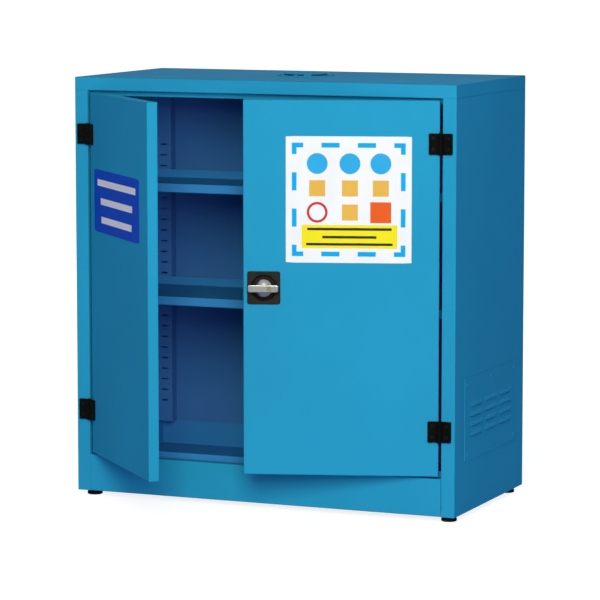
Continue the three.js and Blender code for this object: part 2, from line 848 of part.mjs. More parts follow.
// Half the angle that a tooth fills at a radius, on an involute gear.
function halfToothAngle(radius, baseRadius) {
  const involute = (r) => Math.sqrt((r / baseRadius) ** 2 - 1) - Math.acos(baseRadius / r);
  const atPitch = (toothPitch / 2 - gearBacklash) / (2 * pinionRadius);
  return atPitch + involute(pinionRadius) - involute(radius);
}

// Outline of the pinion, with a tooth on the negative x axis turned by half a pitch from the positive one.
function pinionOutline() {
  const baseRadius = pinionRadius * Math.cos(THREE.MathUtils.degToRad(pressureAngle));
  const tipRadius = pinionRadius + gearModule - tipRelief;
  const rootRadius = pinionRadius - gearModule - rootClearance;
  const points = [];
  for (let tooth = 0; tooth < pinionTeeth; tooth++) {
    const middle = ((tooth * 2 + (pinionTeeth % 2)) * Math.PI) / pinionTeeth;
    const flank = [];
    const start = Math.max(baseRadius, rootRadius);
    for (let step = 0; step <= flankSteps; step++) {
      const radius = start + ((tipRadius - start) * step) / flankSteps;
      flank.push([radius, halfToothAngle(radius, baseRadius)]);
    }
    const rootHalf = halfToothAngle(start, baseRadius);
    const side = [[rootRadius, rootHalf], ...flank];
    const rising = side.map(([radius, angle]) => [radius, middle - angle]);
    const falling = side.reverse().map(([radius, angle]) => [radius, middle + angle]);
    points.push(...rising, ...falling);
  }
  const axis = new THREE.Vector2();
  return points.map(([radius, angle]) => new THREE.Vector2(radius, 0).rotateAround(axis, angle));
}

// Pinion on the spindle, with a hub each side that runs in the gearbox walls.
function lockPinion() {
  const side = spindleSide / 2 + spindleGap;
  const hub = bearingRadius - turnedGap;
  return cut(
    joined(
      prism("y", pinionOutline(), pinionFront, pinionFront + pinionWidth),
      bar("y", [0, 0, 0], hub, gearboxFront, coverBack),
    ),
    block([-side, gearboxFront - cutOverrun, -side], [side, coverBack + cutOverrun, side]),
  );
}

// Toothed bar of a bolt rod, drawn with its teeth towards -x on the pinion's right.
// Phase is 0 where a gap faces the spindle's middle at rest, and a half where a tooth does.
function rackOutline(phase, low, high) {
  const slope = Math.tan(THREE.MathUtils.degToRad(pressureAngle));
  const pitchX = pinionRadius;
  const tipX = pitchX - gearModule + tipRelief;
  const rootX = pitchX + gearModule + rootClearance;
  const halfTooth = toothPitch / 4 - gearBacklash / 2;
  const tipHalf = halfTooth - (pitchX - tipX) * slope;
  const rootHalf = halfTooth + (rootX - pitchX) * slope;
  const first = Math.ceil((low + rootHalf) / toothPitch - phase - 0.5);
  const last = Math.floor((high - rootHalf) / toothPitch - phase - 0.5);
  const points = [[rodX + rackBar / 2, high], [rodX + rackBar / 2, low], [rootX, low]];
  for (let tooth = first; tooth <= last; tooth++) {
    const middle = (tooth + 0.5 + phase) * toothPitch;
    points.push([rootX, middle - rootHalf], [tipX, middle - tipHalf]);
    points.push([tipX, middle + tipHalf], [rootX, middle + rootHalf]);
  }
  points.push([rootX, high]);
  return points.map(([x, z]) => new THREE.Vector2(x, z));
}

// Bolt rod on the pinion's right, which moves down as the handle turns. Its rack ends above the pinion.
function boltRod(phase, reach) {
  const meshHalf = meshPitches * toothPitch;
  const barEnd = gearboxHalfHeight + rodTravel / 2;
  const [front, back] = [rodY - rackWidth / 2, rodY + rackWidth / 2];
  const rack = prism("y", rackOutline(phase, -meshHalf, rodTravel + meshHalf), front, back);
  const shank = block(
    [rodX - shankHalfWidth, front, -barEnd],
    [rodX + rackBar / 2, back, -meshHalf + gearModule],
  );
  const rod = turned("z", [rodX, rodY, 0], [
    [0, -reach],
    [rodRadius - rodTipTaper / 2, -reach],
    [rodRadius, -reach + rodTipTaper],
    [rodRadius, -barEnd + rodTipTaper],
    [0, -barEnd + rodTipTaper],
  ]);
  return joined(rack, shank, rod);
}

function gearboxBase() {
  const back = gearboxFront + sheet;
  return cut(
    block(
      [-gearboxHalfWidth, gearboxFront, -gearboxHalfHeight],
      [gearboxHalfWidth, back, gearboxHalfHeight],
    ),
    bar("y", [0, 0, 0], bearingRadius, gearboxFront - cutOverrun, back + cutOverrun),
  );
}

// Cover of the gearbox, with a gap in its top and bottom walls for each rod.
function gearboxCover() {
  const half = rackBar / 2 + turnedGap;
  const shell = pan(
    [-gearboxHalfWidth, pinionFront, -gearboxHalfHeight],
    [gearboxHalfWidth, coverBack, gearboxHalfHeight],
    1,
    -1,
  );
  const gaps = [-1, 1].map((side) => {
    const x = side * rodX;
    const edge = -side * gearboxHalfHeight;
    return block(
      [x - half, pinionFront - cutOverrun, edge - cutOverrun],
      [x + half, rodY + rackWidth / 2 + turnedGap, edge + cutOverrun],
    );
  });
  return cut(shell, ...gaps, bar("y", [0, 0, 0], bearingRadius, pinionFront, coverBack + cutOverrun));
}

function rodGuide() {
  const low = sheet + turnedGap;
  const high = doorThickness - sheet - turnedGap;
  const outline = roundedRectangle(-guideWidth / 2, low, guideWidth / 2, high, gripCornerRadius);
  return cut(
    prism("z", outline, -guideHeight / 2, guideHeight / 2),
    bar("z", [0, rodY, 0], rodRadius + turnedGap, -guideHeight, guideHeight),
  );
}

// Cam that hangs down at rest and swings behind the left door as the handle turns.
function latchCam() {
  const reach = hingeX - lockX + meetingLineOffset + doorMiddleGap / 2 + camLap;
  const half = camArmWidth / 2;
  const side = spindleSide / 2 + spindleGap;
  const arm = roundedRectangle(-half, -reach, half, half, camArmCorner);
  return cut(
    joined(
      prism("y", arm, camFront, camFront + camThickness),
      bar("y", [0, 0, 0], camHubRadius, camFront, camFront + camThickness, padSteps),
    ),
    block([-side, camFront - cutOverrun, -side], [side, camFront + camThickness + cutOverrun, side]),
  );
}

function camNut() {
  const front = camFront + camThickness + turnedGap;
  return cut(
    bar("y", [0, 0, 0], nutWidth / Math.sqrt(3), front, front + nutHeight, nutSides),
    bar("y", [0, 0, 0], spindleSide / 2, front - cutOverrun, front + nutHeight + cutOverrun),
  );
}

// The cabinet, put together in the casing's own frame: x from its middle, y from its front plane.
function group(x, y, z, turn = 0) {
  const made = new THREE.Group();
  made.position.set(x, y, z);
  made.rotation.z = THREE.MathUtils.degToRad(turn);
  return made;
}

// A piece drawn for the right side, or its mirror image for the left.
function sided(name, solid, look, side) {
  const mesh = meshOf(name + (side > 0 ? "_right" : "_left"), solid, look);
  mesh.scale.x = side;
  return mesh;
}

function casing() {
  const made = group(0, 0, 0);
  for (const side of [-1, 1]) {
    made.add(
      sided("side_panel", sidePanel(), bluePaint, side),
      sided("base_rail", baseRail(), zincPlate, side),
      sided("vent_cover", ventCover(), bluePaint, side),
      sided("upright_front", upright(1, frontUprightFace, uprightFrontWidth), innerPaint, side),
      sided("upright_rear", upright(-1, rearUprightFace, uprightRearWidth), innerPaint, side),
    );
  }
  made.add(
    meshOf("roof_panel", roofPanel(), bluePaint),
    meshOf("back_panel", backPanel(), innerPaint),
    meshOf("plinth_panel", plinthPanel(), bluePaint),
    meshOf("sump_tray", sumpTray(), innerPaint),
    meshOf("outlet_cover", outletCover(), bluePaint),
  );
  return made;
}

function shelves() {
  const made = group(0, 0, 0);
  for (const [level, slot] of [["upper", upperShelfSlot], ["lower", lowerShelfSlot]]) {
    made.add(meshOf("shelf_" + level, shelfTray(slot), shelfPaint));
    for (const side of [-1, 1]) {
      made.add(
        sided("clip_" + level + "_front", shelfClip(1, frontUprightFace, slot), zincPlate, side),
        sided("clip_" + level + "_rear", shelfClip(-1, rearUprightFace, slot), zincPlate, side),
      );
    }
  }
  return made;
}

function feet() {
  const made = group(0, 0, 0);
  for (const side of [-1, 1]) {
    for (const [end, y] of [["front", footFromFront], ["rear", casingDepth - footFromFront]]) {
      const foot = group(side * (halfWidth - footFromSide), y, 0);
      foot.add(sided("foot_" + end, levellingFoot(), blackRubber, side));
      made.add(foot);
    }
  }
  return made;
}

const hingeLevels = [
  ["upper", doorTop - upperHingeFromTop],
  ["lower", doorBottom + lowerHingeFromBottom],
];

function frameHinges() {
  const made = group(0, 0, 0);
  for (const side of [-1, 1]) {
    for (const [level, height] of hingeLevels) {
      const hinge = group(side * hingeX, -pinStand, height);
      hinge.add(
        sided("hinge_frame_" + level, hingeLeaf(false), blackPlastic, side),
        sided("hinge_pin_" + level, hingePin(), zincPlate, side),
      );
      made.add(hinge);
    }
  }
  return made;
}

// What both doors have, on a group whose origin is on the pin's axis. Side is 1 for the right door.
function doorOf(side, opening, panel) {
  const swung = group(side * hingeX, -pinStand, 0, side * opening);
  for (const [level, height] of hingeLevels) {
    const leaf = sided("hinge_door_" + level, hingeLeaf(true), blackPlastic, side);
    leaf.scale.x = -side;
    leaf.position.z = height;
    swung.add(leaf);
  }
  const door = group(0, pinStand, 0);
  door.add(
    meshOf(side > 0 ? "door_panel_right" : "door_panel_left", panel, bluePaint),
    meshOf(side > 0 ? "door_stiffener_right" : "door_stiffener_left", doorStiffener(side), bluePaint),
  );
  swung.add(door);
  return [swung, door];
}

function lock() {
  const made = group(-lockX, 0, lockHeight);
  const upperReach = doorTop - lockHeight - rodEndGap;
  const lowerReach = lockHeight - doorBottom - rodEndGap;
  const upperRod = meshOf("bolt_rod_upper", boltRod(0, upperReach), zincPlate);
  upperRod.rotation.y = Math.PI;
  const upperGuide = meshOf("rod_guide_upper", rodGuide(), blackPlastic);
  upperGuide.position.set(-rodX, 0, doorTop - lockHeight - guideFromEdge);
  const lowerGuide = meshOf("rod_guide_lower", rodGuide(), blackPlastic);
  lowerGuide.position.set(rodX, 0, doorBottom - lockHeight + guideFromEdge);
  const plug = meshOf("key_plug", keyPlug(), chromePlate);
  plug.position.x = keyPlugOffset;
  made.add(
    meshOf("lock_dish", lockDish(), blackPlastic),
    meshOf("lock_handle", lockHandle(), chromePlate),
    plug,
    meshOf("lock_spindle", lockSpindle(), zincPlate),
    meshOf("lock_pinion", lockPinion(), zincPlate),
    meshOf("gearbox_base", gearboxBase(), zincPlate),
    meshOf("gearbox_cover", gearboxCover(), zincPlate),
    meshOf("bolt_rod_lower", boltRod(lowerRackPhase, lowerReach), zincPlate),
    upperRod,
    upperGuide,
    lowerGuide,
    meshOf("latch_cam", latchCam(), zincPlate),
    meshOf("cam_nut", camNut(), zincPlate),
  );
  return made;
}

const [leftSwing] = doorOf(-1, leftDoorOpening, doorPanel(-1));
const [rightSwing, rightDoor] = doorOf(1, rightDoorOpening, lockedDoorPanel());
rightDoor.add(lock());

const cabinet = group(0, 0, 0);
cabinet.add(casing(), shelves(), feet(), frameHinges(), leftSwing, rightSwing);

// The origin is the middle of the cabinet's outer box, on the surface that it stands on.
const reach = new THREE.Box3().setFromObject(cabinet, true);
const centre = reach.getCenter(new THREE.Vector3());
cabinet.position.set(-centre.x, -centre.y, -reach.min.z);

const part = new THREE.Group();
part.add(cabinet);
export default part;
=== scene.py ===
"""Looks of a sheet-steel chemical storage cabinet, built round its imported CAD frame.

Lengths are metres in the frame's own axes: X to the right, Y to the back, Z up.
A door's own axes have X along the door from its pin, Y from its outer face inwards.
"""

import json
import logging
import math
from dataclasses import dataclass, field, replace
from enum import Enum
from typing import Callable, Iterable, Sequence

import bmesh
import bpy
from mathutils import Matrix, Vector


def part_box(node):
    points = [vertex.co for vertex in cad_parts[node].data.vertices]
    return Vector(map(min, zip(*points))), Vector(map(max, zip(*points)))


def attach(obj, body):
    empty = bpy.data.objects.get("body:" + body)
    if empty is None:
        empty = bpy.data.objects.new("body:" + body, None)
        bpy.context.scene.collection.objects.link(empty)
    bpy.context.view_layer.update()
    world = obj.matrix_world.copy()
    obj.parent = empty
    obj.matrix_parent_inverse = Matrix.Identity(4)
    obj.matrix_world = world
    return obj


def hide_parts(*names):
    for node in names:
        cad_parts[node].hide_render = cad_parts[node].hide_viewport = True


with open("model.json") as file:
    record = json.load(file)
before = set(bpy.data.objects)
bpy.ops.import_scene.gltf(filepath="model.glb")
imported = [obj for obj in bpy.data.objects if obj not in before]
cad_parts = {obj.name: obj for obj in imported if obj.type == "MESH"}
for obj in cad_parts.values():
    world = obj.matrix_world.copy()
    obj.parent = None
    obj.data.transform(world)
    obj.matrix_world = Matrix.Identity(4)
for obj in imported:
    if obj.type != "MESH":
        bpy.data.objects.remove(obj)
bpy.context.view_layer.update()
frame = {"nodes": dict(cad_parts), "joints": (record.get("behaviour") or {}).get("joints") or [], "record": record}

LOG = logging.getLogger("cabinet")

Socket = bpy.types.NodeSocket
Piece = bpy.types.Object
Colour = tuple[float, float, float]
Triple = tuple[float, float, float]
Pair = tuple[float, float]
Point = tuple[float, float]
Station = tuple[Vector, Vector, float]
Outline = Callable[[float], float]
Level = tuple[float | Outline, float]

# Degrees above which an edge stays sharp: on most pieces, on turned ones and on boards.
SHARP_ANGLE, CRISP_ANGLE, BOARD_ANGLE = 35.0, 30.0, 40.0
# Steps across a rounded edge, and how much more a large face counts in the shading.
EASE_SEGMENTS, FLAT_WEIGHT = 2, 80
# What counts as one point, in metres, and as one flat face, in degrees.
SAME_PLACE, SAME_CAD_PLACE, SAME_FACE_ANGLE = 1e-7, 1e-6, 0.5
SMALLEST_SINE = 1e-6
# How far a cutter goes past a thin sheet.
OVERRUN = 0.001

# A finish's noises: their detail, the range that counts, their shares, and their sizes as
# multiples of the tint's size or of the grain's.
TINT_DETAIL, TINT_RANGE = 3.0, (0.3, 0.7)
HAZE_DETAIL, HAZE_SIZE = 4.0, 0.35
GRAIN_DETAIL = 2.0
PEEL_DETAIL, PEEL_SIZE, PEEL_SHARE = 1.0, 4.0, 1.6
PLATED_DETAIL, PLATED_SIZE, PLATED_FINE_SHARE = 2.0, 9.0, 0.4
SPARK_RANGE = (0.35, 0.65)
# Half the depth in which a sheet's front colour gives way to its rear one.
REAR_STEP = 0.0001


# Node trees


def live(node: bpy.types.Node) -> Socket:
    """The output that a node's settings leave in use."""
    return next(socket for socket in node.outputs if socket.enabled)


@dataclass
class NodeMaker:
    """Adds nodes to a shader or geometry tree."""

    tree: bpy.types.NodeTree

    @classmethod
    def cleared(cls, owner: bpy.types.Material | bpy.types.World) -> "NodeMaker":
        """Starts an empty tree on a material or on the world.

        Args:
            owner: the material or the world.

        Returns:
            The maker of its tree.
        """
        owner.use_nodes = True
        owner.node_tree.nodes.clear()
        return cls(owner.node_tree)

    def node(
        self,
        kind: str,
        settings: dict[str, object] | None = None,
        sockets: dict[str | int, object] | None = None,
    ) -> bpy.types.Node:
        """Adds one node.

        Args:
            kind: the node's Blender type.
            settings: its properties.
            sockets: a value or a link for each input, by name or by number.

        Returns:
            The new node.
        """
        made = self.tree.nodes.new(kind)
        for name, value in (settings or {}).items():
            setattr(made, name, value)
        for key, value in (sockets or {}).items():
            if isinstance(key, int):
                socket = made.inputs[key]
            else:
                socket = next(s for s in made.inputs if s.name == key and s.enabled)
            if isinstance(value, Value):
                self.tree.links.new(value.socket, socket)
            elif isinstance(value, Socket):
                self.tree.links.new(value, socket)
            else:
                socket.default_value = value
        return made

    def mixed(self, factor: "Value", first: Colour | Socket, second: Colour | Socket) -> Socket:
        """Mixes two colours, each of them plain or a link.

        Args:
            factor: the share of the second one.
            first: the colour at 0.
            second: the colour at 1.

        Returns:
            The mixed colour.
        """
        sockets = {"Factor": factor}
        for key, colour in (("A", first), ("B", second)):
            sockets[key] = (*colour, 1.0) if isinstance(colour, tuple) else colour
        return live(self.node("ShaderNodeMix", {"data_type": "RGBA"}, sockets))


@dataclass
class Value:
    """A number on a shader tree that takes Python's operators."""

    maker: NodeMaker
    socket: Socket

    def _maths(self, operation: str, *terms: "Value | float") -> "Value":
        """Puts the terms through one Math node.

        Args:
            operation: the node's operation.
            terms: its numbers and values, in order.

        Returns:
            What comes out.
        """
        settings = {"operation": operation}
        made = self.maker.node("ShaderNodeMath", settings, dict(enumerate(terms)))
        return Value(self.maker, made.outputs[0])

    def __add__(self, other: "Value | float") -> "Value":
        """The sum."""
        return self._maths("ADD", self, other)

    __radd__ = __add__

    def __mul__(self, other: "Value | float") -> "Value":
        """The product."""
        return self._maths("MULTIPLY", self, other)

    __rmul__ = __mul__

    def __sub__(self, other: "Value | float") -> "Value":
        """The difference."""
        return self._maths("SUBTRACT", self, other)

    def __rsub__(self, other: float) -> "Value":
        """The difference from a plain number."""
        return self._maths("SUBTRACT", other, self)

    def between(self, low: float, high: float) -> "Value":
        """A smooth step from 0 at low to 1 at high.

        Args:
            low: where the step starts.
            high: where it ends.

        Returns:
            The step.
        """
        made = self.maker.node(
            "ShaderNodeMapRange",
            {"interpolation_type": "SMOOTHSTEP"},
            {"Value": self, "From Min": low, "From Max": high},
        )
        return Value(self.maker, made.outputs["Result"])


# Finishes


class Grain(Enum):
    """The pattern of a surface's small relief."""

    ORANGE_PEEL = "orange peel of a baked powder coat"
    SPARK_ERODED = "fine grain of a moulded piece"
    PLATED = "soft unevenness of plated metal"
    PRINTED = "smooth film"


@dataclass(frozen=True)
class Finish:
    """A surface finish and the material that shows it."""

    name: str
    slot: str
    colour: Colour
    roughness: float
    grain: Grain = Grain.ORANGE_PEEL
    metallic: float = 0.0
    tint: Colour | None = None
    tint_size: float = 0.4
    mottle: float = 0.04
    roughness_spread: float = 0.08
    grain_size: float = 0.0011
    relief: float = 0.00004
    specular: float = 0.008
    rear_colour: Colour | None = None
    rear_from: float = 0.0

    def material(self) -> bpy.types.Material:
        """The finish's material, made when it is first asked for."""
        return bpy.data.materials.get(self.name) or self._made()

    def _made(self) -> bpy.types.Material:
        """Builds the material's tree.

        Returns:
            The material.
        """
        made = bpy.data.materials.new(self.name)
        maker = NodeMaker.cleared(made)
        place = maker.node("ShaderNodeTexCoord").outputs["Object"]
        shader = maker.node(
            "ShaderNodeBsdfPrincipled",
            sockets={
                "Base Color": self._colour(maker, place),
                "Metallic": self.metallic,
                "Roughness": self._roughness(maker, place),
                "Specular IOR Level": self.specular,
                "Normal": self._relief(maker, place),
            },
        )
        maker.node("ShaderNodeOutputMaterial", sockets={"Surface": shader.outputs[0]})
        return made

    @staticmethod
    def _noise(maker: NodeMaker, place: Socket, size: float, detail: float) -> Value:
        """Smooth noise, about 0.5 on average, with features of a size and finer layers on them."""
        sockets = {"Vector": place, "Scale": 1.0 / size, "Detail": detail}
        return Value(maker, maker.node("ShaderNodeTexNoise", sockets=sockets).outputs[0])

    def _colour(self, maker: NodeMaker, place: Socket) -> Socket:
        """The mottled colour, with the rear colour behind its depth if there is one.

        Args:
            maker: the material's tree.
            place: the coordinates.

        Returns:
            The colour.
        """
        deeper = tuple(part * (1.0 - self.mottle) for part in self.colour)
        second = self.tint or tuple(min(1.0, part * (1.0 + self.mottle)) for part in self.colour)
        broad = self._noise(maker, place, self.tint_size, TINT_DETAIL)
        colour = maker.mixed(broad.between(*TINT_RANGE), deeper, second)
        if not self.rear_colour:
            return colour
        depth = Value(maker, maker.node("ShaderNodeSeparateXYZ", sockets={0: place}).outputs["Y"])
        behind = depth.between(self.rear_from - REAR_STEP, self.rear_from + REAR_STEP)
        return maker.mixed(behind, colour, self.rear_colour)

    def _roughness(self, maker: NodeMaker, place: Socket) -> Value:
        """Roughness that varies a little over the surface."""
        haze = self._noise(maker, place, self.tint_size * HAZE_SIZE, HAZE_DETAIL)
        return (haze - 0.5) * self.roughness_spread + self.roughness

    def _relief(self, maker: NodeMaker, place: Socket) -> Socket:
        """The normal with the finish's small relief.

        Args:
            maker: the material's tree.
            place: the coordinates.

        Returns:
            The socket that feeds the shader's normal.
        """
        height = self._noise(maker, place, self.grain_size, GRAIN_DETAIL)
        if self.grain is Grain.ORANGE_PEEL:
            peel = self._noise(maker, place, self.grain_size * PEEL_SIZE, PEEL_DETAIL)
            height = height + peel * PEEL_SHARE
        elif self.grain is Grain.SPARK_ERODED:
            height = height.between(*SPARK_RANGE)
        elif self.grain is Grain.PLATED:
            plated = self._noise(maker, place, self.grain_size * PLATED_SIZE, PLATED_DETAIL)
            height = height * PLATED_FINE_SHARE + plated
        sockets = {"Distance": self.relief, "Strength": 1.0, "Height": height}
        return maker.node("ShaderNodeBump", sockets=sockets).outputs[0]


OUTSIDE_PAINT = Finish("outside_paint", "blue_paint", (0.021, 0.316, 0.54), roughness=0.58)
# Painted shade: the inside paint is a darker, bluer copy of the outside paint, standing in for the shade inside
# the cabinet.
INSIDE_PAINTED_SHADE = Finish("inside_paint", "inner_paint", (0.050, 0.180, 0.47), roughness=0.6)
# Painted shade: the shelves and the sump tray take a darker, bluer copy of the outside paint, standing in for the
# shade inside the cabinet.
SHELF_PAINTED_SHADE = Finish("tray_paint", "shelf_paint", (0.038, 0.235, 0.56), roughness=0.58)
ZINC = Finish(
    "zinc_plating",
    "zinc_plate",
    (0.60, 0.61, 0.62),
    roughness=0.36,
    grain=Grain.PLATED,
    metallic=1.0,
    tint=(0.66, 0.64, 0.58),
    tint_size=0.012,
    roughness_spread=0.16,
)
CHROME = Finish(
    "chrome_plating",
    "chrome_plate",
    (0.30, 0.295, 0.31),
    roughness=0.32,
    grain=Grain.PLATED,
    metallic=1.0,
    tint_size=0.02,
    mottle=0.05,
    roughness_spread=0.1,
    relief=0.00001,
)
KEY_METAL = Finish(
    "key_plug_metal",
    "chrome_plate",
    (0.25, 0.22, 0.17),
    roughness=0.38,
    grain=Grain.PLATED,
    metallic=1.0,
    tint_size=0.004,
    roughness_spread=0.12,
)
PLASTIC = Finish(
    "black_moulding",
    "black_plastic",
    (0.0024, 0.0027, 0.0027),
    roughness=0.6,
    grain=Grain.SPARK_ERODED,
    tint=(0.0038, 0.0040, 0.0040),
    tint_size=0.01,
    grain_size=0.0004,
    relief=0.00006,
    specular=0.03,
)
DISH_PLASTIC = Finish(
    "dish_moulding",
    "black_plastic",
    (0.0195, 0.0168, 0.0142),
    roughness=0.56,
    grain=Grain.SPARK_ERODED,
    tint=(0.026, 0.0225, 0.019),
    tint_size=0.015,
    grain_size=0.0005,
    relief=0.00008,
    specular=0.06,
)
RUBBER = Finish(
    "foot_rubber",
    "black_rubber",
    (0.009, 0.009, 0.009),
    roughness=0.8,
    grain=Grain.SPARK_ERODED,
    tint=(0.016, 0.016, 0.017),
    tint_size=0.008,
    grain_size=0.0007,
    relief=0.0001,
)
BLACK_STEEL = Finish(
    "blackened_steel",
    "black_plastic",
    (0.011, 0.011, 0.012),
    roughness=0.4,
    grain=Grain.PLATED,
    metallic=0.6,
    tint_size=0.006,
)
FILM = Finish(
    "film",
    "blue_paint",
    (1.0, 1.0, 1.0),
    roughness=0.42,
    grain=Grain.PRINTED,
    mottle=0.02,
    tint_size=0.06,
    grain_size=0.003,
    relief=0.00001,
    specular=0.012,
)
WHITE_FILM = replace(FILM, name="white_film", colour=(0.86, 0.88, 0.89))
CYAN_FILM = replace(FILM, name="cyan_film", colour=(0.008, 0.40, 0.80))
DISC_FILM = replace(FILM, name="disc_film", colour=(0.035, 0.40, 0.76))
AMBER_FILM = replace(FILM, name="amber_film", colour=(0.78, 0.46, 0.085))
RED_FILM = replace(FILM, name="red_film", colour=(0.62, 0.04, 0.05))
ORANGE_FILM = replace(FILM, name="orange_film", colour=(0.80, 0.12, 0.022))
YELLOW_FILM = replace(FILM, name="yellow_film", colour=(0.88, 0.78, 0.022))
INK_FILM = replace(FILM, name="ink_film", colour=(0.035, 0.035, 0.03))
ROYAL_FILM = replace(FILM, name="royal_film", colour=(0.003, 0.072, 0.56))

SLOT_FINISHES = {
    made.slot: made
    for made in (OUTSIDE_PAINT, INSIDE_PAINTED_SHADE, SHELF_PAINTED_SHADE, ZINC, CHROME, PLASTIC, RUBBER)
}


# Meshes


def shift(x: float = 0.0, y: float = 0.0, z: float = 0.0) -> Matrix:
    """A move along the axes."""
    return Matrix.Translation((x, y, z))


def spun(degrees: float, axis: str = "Z") -> Matrix:
    """A turn about an axis."""
    return Matrix.Rotation(math.radians(degrees), 4, axis)


def rectangle(x: float, y: float, width: float, height: float) -> list[Point]:
    """A rectangle's corners round a middle.

    Args:
        x: the middle's place across.
        y: the middle's place along the other axis.
        width: the whole size across.
        height: the whole size along the other axis.

    Returns:
        The corners, in order round the rectangle.
    """
    left, right = x - width / 2, x + width / 2
    low, high = y - height / 2, y + height / 2
    return [(left, low), (right, low), (right, high), (left, high)]


def levels(outline: Sequence[Point], low: float, high: float) -> list[list[Vector]]:
    """A flat outline at two heights."""
    return [[Vector((x, y, z)) for x, y in outline] for z in (low, high)]


def ring(radius: float | Outline, height: float, count: int) -> list[Vector]:
    """Points round the Z axis.

    Args:
        radius: one radius, or a function of the angle that gives it.
        height: the ring's place on the axis.
        count: the number of points.

    Returns:
        The points.
    """
    points = []
    for step in range(count):
        angle = math.tau * step / count
        out = radius(angle) if callable(radius) else radius
        points.append(Vector((out * math.cos(angle), out * math.sin(angle), height)))
    return points


def rounded_box(half_width: float, half_height: float, corner: float) -> Outline:
    """The radius of a rounded rectangle at each angle.

    Args:
        half_width: half its width.
        half_height: half its height.
        corner: the radius of its corners.

    Returns:
        A function from angle to radius.
    """

    def radius(angle: float) -> float:
        """How far the outline lies from the middle at an angle.

        Args:
            angle: the angle in radians.

        Returns:
            The distance.
        """
        along, across = abs(math.cos(angle)), abs(math.sin(angle))
        sideways = along * half_height > across * half_width
        side = half_width / along if sideways else half_height / across
        if side * along <= half_width - corner or side * across <= half_height - corner:
            return side
        centre_x, centre_y = half_width - corner, half_height - corner
        middle = centre_x * along + centre_y * across
        return middle + math.sqrt(max(0.0, middle**2 - centre_x**2 - centre_y**2 + corner**2))

    return radius


def hexagon(across_flats: float) -> Outline:
    """The radius of a hexagon at each angle."""
    sixth = math.pi / 3
    return lambda angle: across_flats / 2 / math.cos(angle % sixth - sixth / 2)


def cross(reach: float, half_slot: float) -> Outline:
    """The radius of a cross recess at each angle.

    Args:
        reach: how far an arm's flat end lies from the middle.
        half_slot: half an arm's width.

    Returns:
        The outline.
    """

    def radius(angle: float) -> float:
        """How far the recess's edge lies from the middle at an angle.

        Args:
            angle: the angle in radians.

        Returns:
            The distance.
        """
        quarter = math.pi / 2
        off = abs((angle + quarter / 2) % quarter - quarter / 2)
        return min(reach / math.cos(off), half_slot / max(math.sin(off), SMALLEST_SINE))

    return radius


@dataclass
class Shell:
    """Vertices and faces of a piece while it is made."""

    points: list[Vector] = field(default_factory=list)
    faces: list[list[int]] = field(default_factory=list)

    def add(self, points: Iterable[Vector]) -> list[int]:
        """Keeps points and gives their numbers.

        Args:
            points: the points.

        Returns:
            Their numbers.
        """
        start = len(self.points)
        self.points.extend(points)
        return list(range(start, len(self.points)))

    def band(self, low: Sequence[int], high: Sequence[int]) -> None:
        """Joins two rings of the same count with four-sided faces.

        Args:
            low: the first ring's point numbers.
            high: the second ring's.
        """
        count = len(low)
        for step in range(count):
            after = (step + 1) % count
            self.faces.append([low[step], low[after], high[after], high[step]])

    def lofted(self, rings: Sequence[Sequence[Vector]], hollow: bool = False) -> "Shell":
        """Adds a closed shell through rings.

        Args:
            rings: the rings in order, all of the same count.
            hollow: whether the last ring joins the first one, instead of both being capped.

        Returns:
            The shell itself.
        """
        numbers = [self.add(points) for points in rings]
        for low, high in zip(numbers, numbers[1:]):
            self.band(low, high)
        if hollow:
            self.band(numbers[-1], numbers[0])
        else:
            self.faces.append(list(reversed(numbers[0])))
            self.faces.append(list(numbers[-1]))
        return self

    def piece(self, name: str, place: Matrix | None = None) -> Piece:
        """Makes an object whose faces point outwards.

        Args:
            name: the object's name.
            place: where its mesh goes.

        Returns:
            The object, at the origin.
        """
        work = bmesh.new()
        made = [work.verts.new(point) for point in self.points]
        for face in self.faces:
            work.faces.new([made[number] for number in face])
        work.transform(place or Matrix())
        bmesh.ops.remove_doubles(work, verts=work.verts, dist=SAME_PLACE)
        bmesh.ops.recalc_face_normals(work, faces=work.faces)
        return piece_of(name, work)


def profile_shell(profile: Sequence[Level], count: int, hollow: bool = False) -> Shell:
    """A shell turned about Z; a radius may be a function of the angle, hollow leaves a bore."""
    return Shell().lofted([ring(radius, height, count) for radius, height in profile], hollow)


def plate_shell(outline: Outline, low: float, high: float, count: int = 64) -> Shell:
    """A flat plate with an outline, between two heights."""
    return profile_shell([(outline, low), (outline, high)], count)


def prism(outline: Sequence[Point], low: float, high: float) -> Shell:
    """A flat-sided plate between two heights."""
    return Shell().lofted(levels(outline, low, high))


def new_piece(name: str, mesh: bpy.types.Mesh) -> Piece:
    """Links an object for a mesh.

    Args:
        name: the object's name.
        mesh: the mesh.

    Returns:
        The object.
    """
    made = bpy.data.objects.new(name, mesh)
    bpy.context.scene.collection.objects.link(made)
    return made


def piece_of(name: str, work: bmesh.types.BMesh) -> Piece:
    """Links an object for a working mesh, which is freed.

    Args:
        name: the object's name, and its mesh's.
        work: the working mesh.

    Returns:
        The object.
    """
    mesh = bpy.data.meshes.new(name)
    work.to_mesh(mesh)
    work.free()
    return new_piece(name, mesh)


def block(low: Sequence[float], high: Sequence[float]) -> Piece:
    """A cutting block between two corners."""
    corners = [(low[0], low[1]), (high[0], low[1]), (high[0], high[1]), (low[0], high[1])]
    return prism(corners, low[2], high[2]).piece("block")


def settle(obj: Piece) -> None:
    """Does an object's modifiers for good.

    Args:
        obj: the object.
    """
    bpy.context.view_layer.update()
    evaluated = obj.evaluated_get(bpy.context.evaluated_depsgraph_get())
    mesh = bpy.data.meshes.new_from_object(evaluated)
    obj.modifiers.clear()
    obj.data = mesh


def discard(obj: Piece) -> None:
    """Takes a helper object out of the scene."""
    bpy.data.objects.remove(obj)


class Join(Enum):
    """What a second solid does to the first one."""

    ADD = "UNION"
    CUT = "DIFFERENCE"


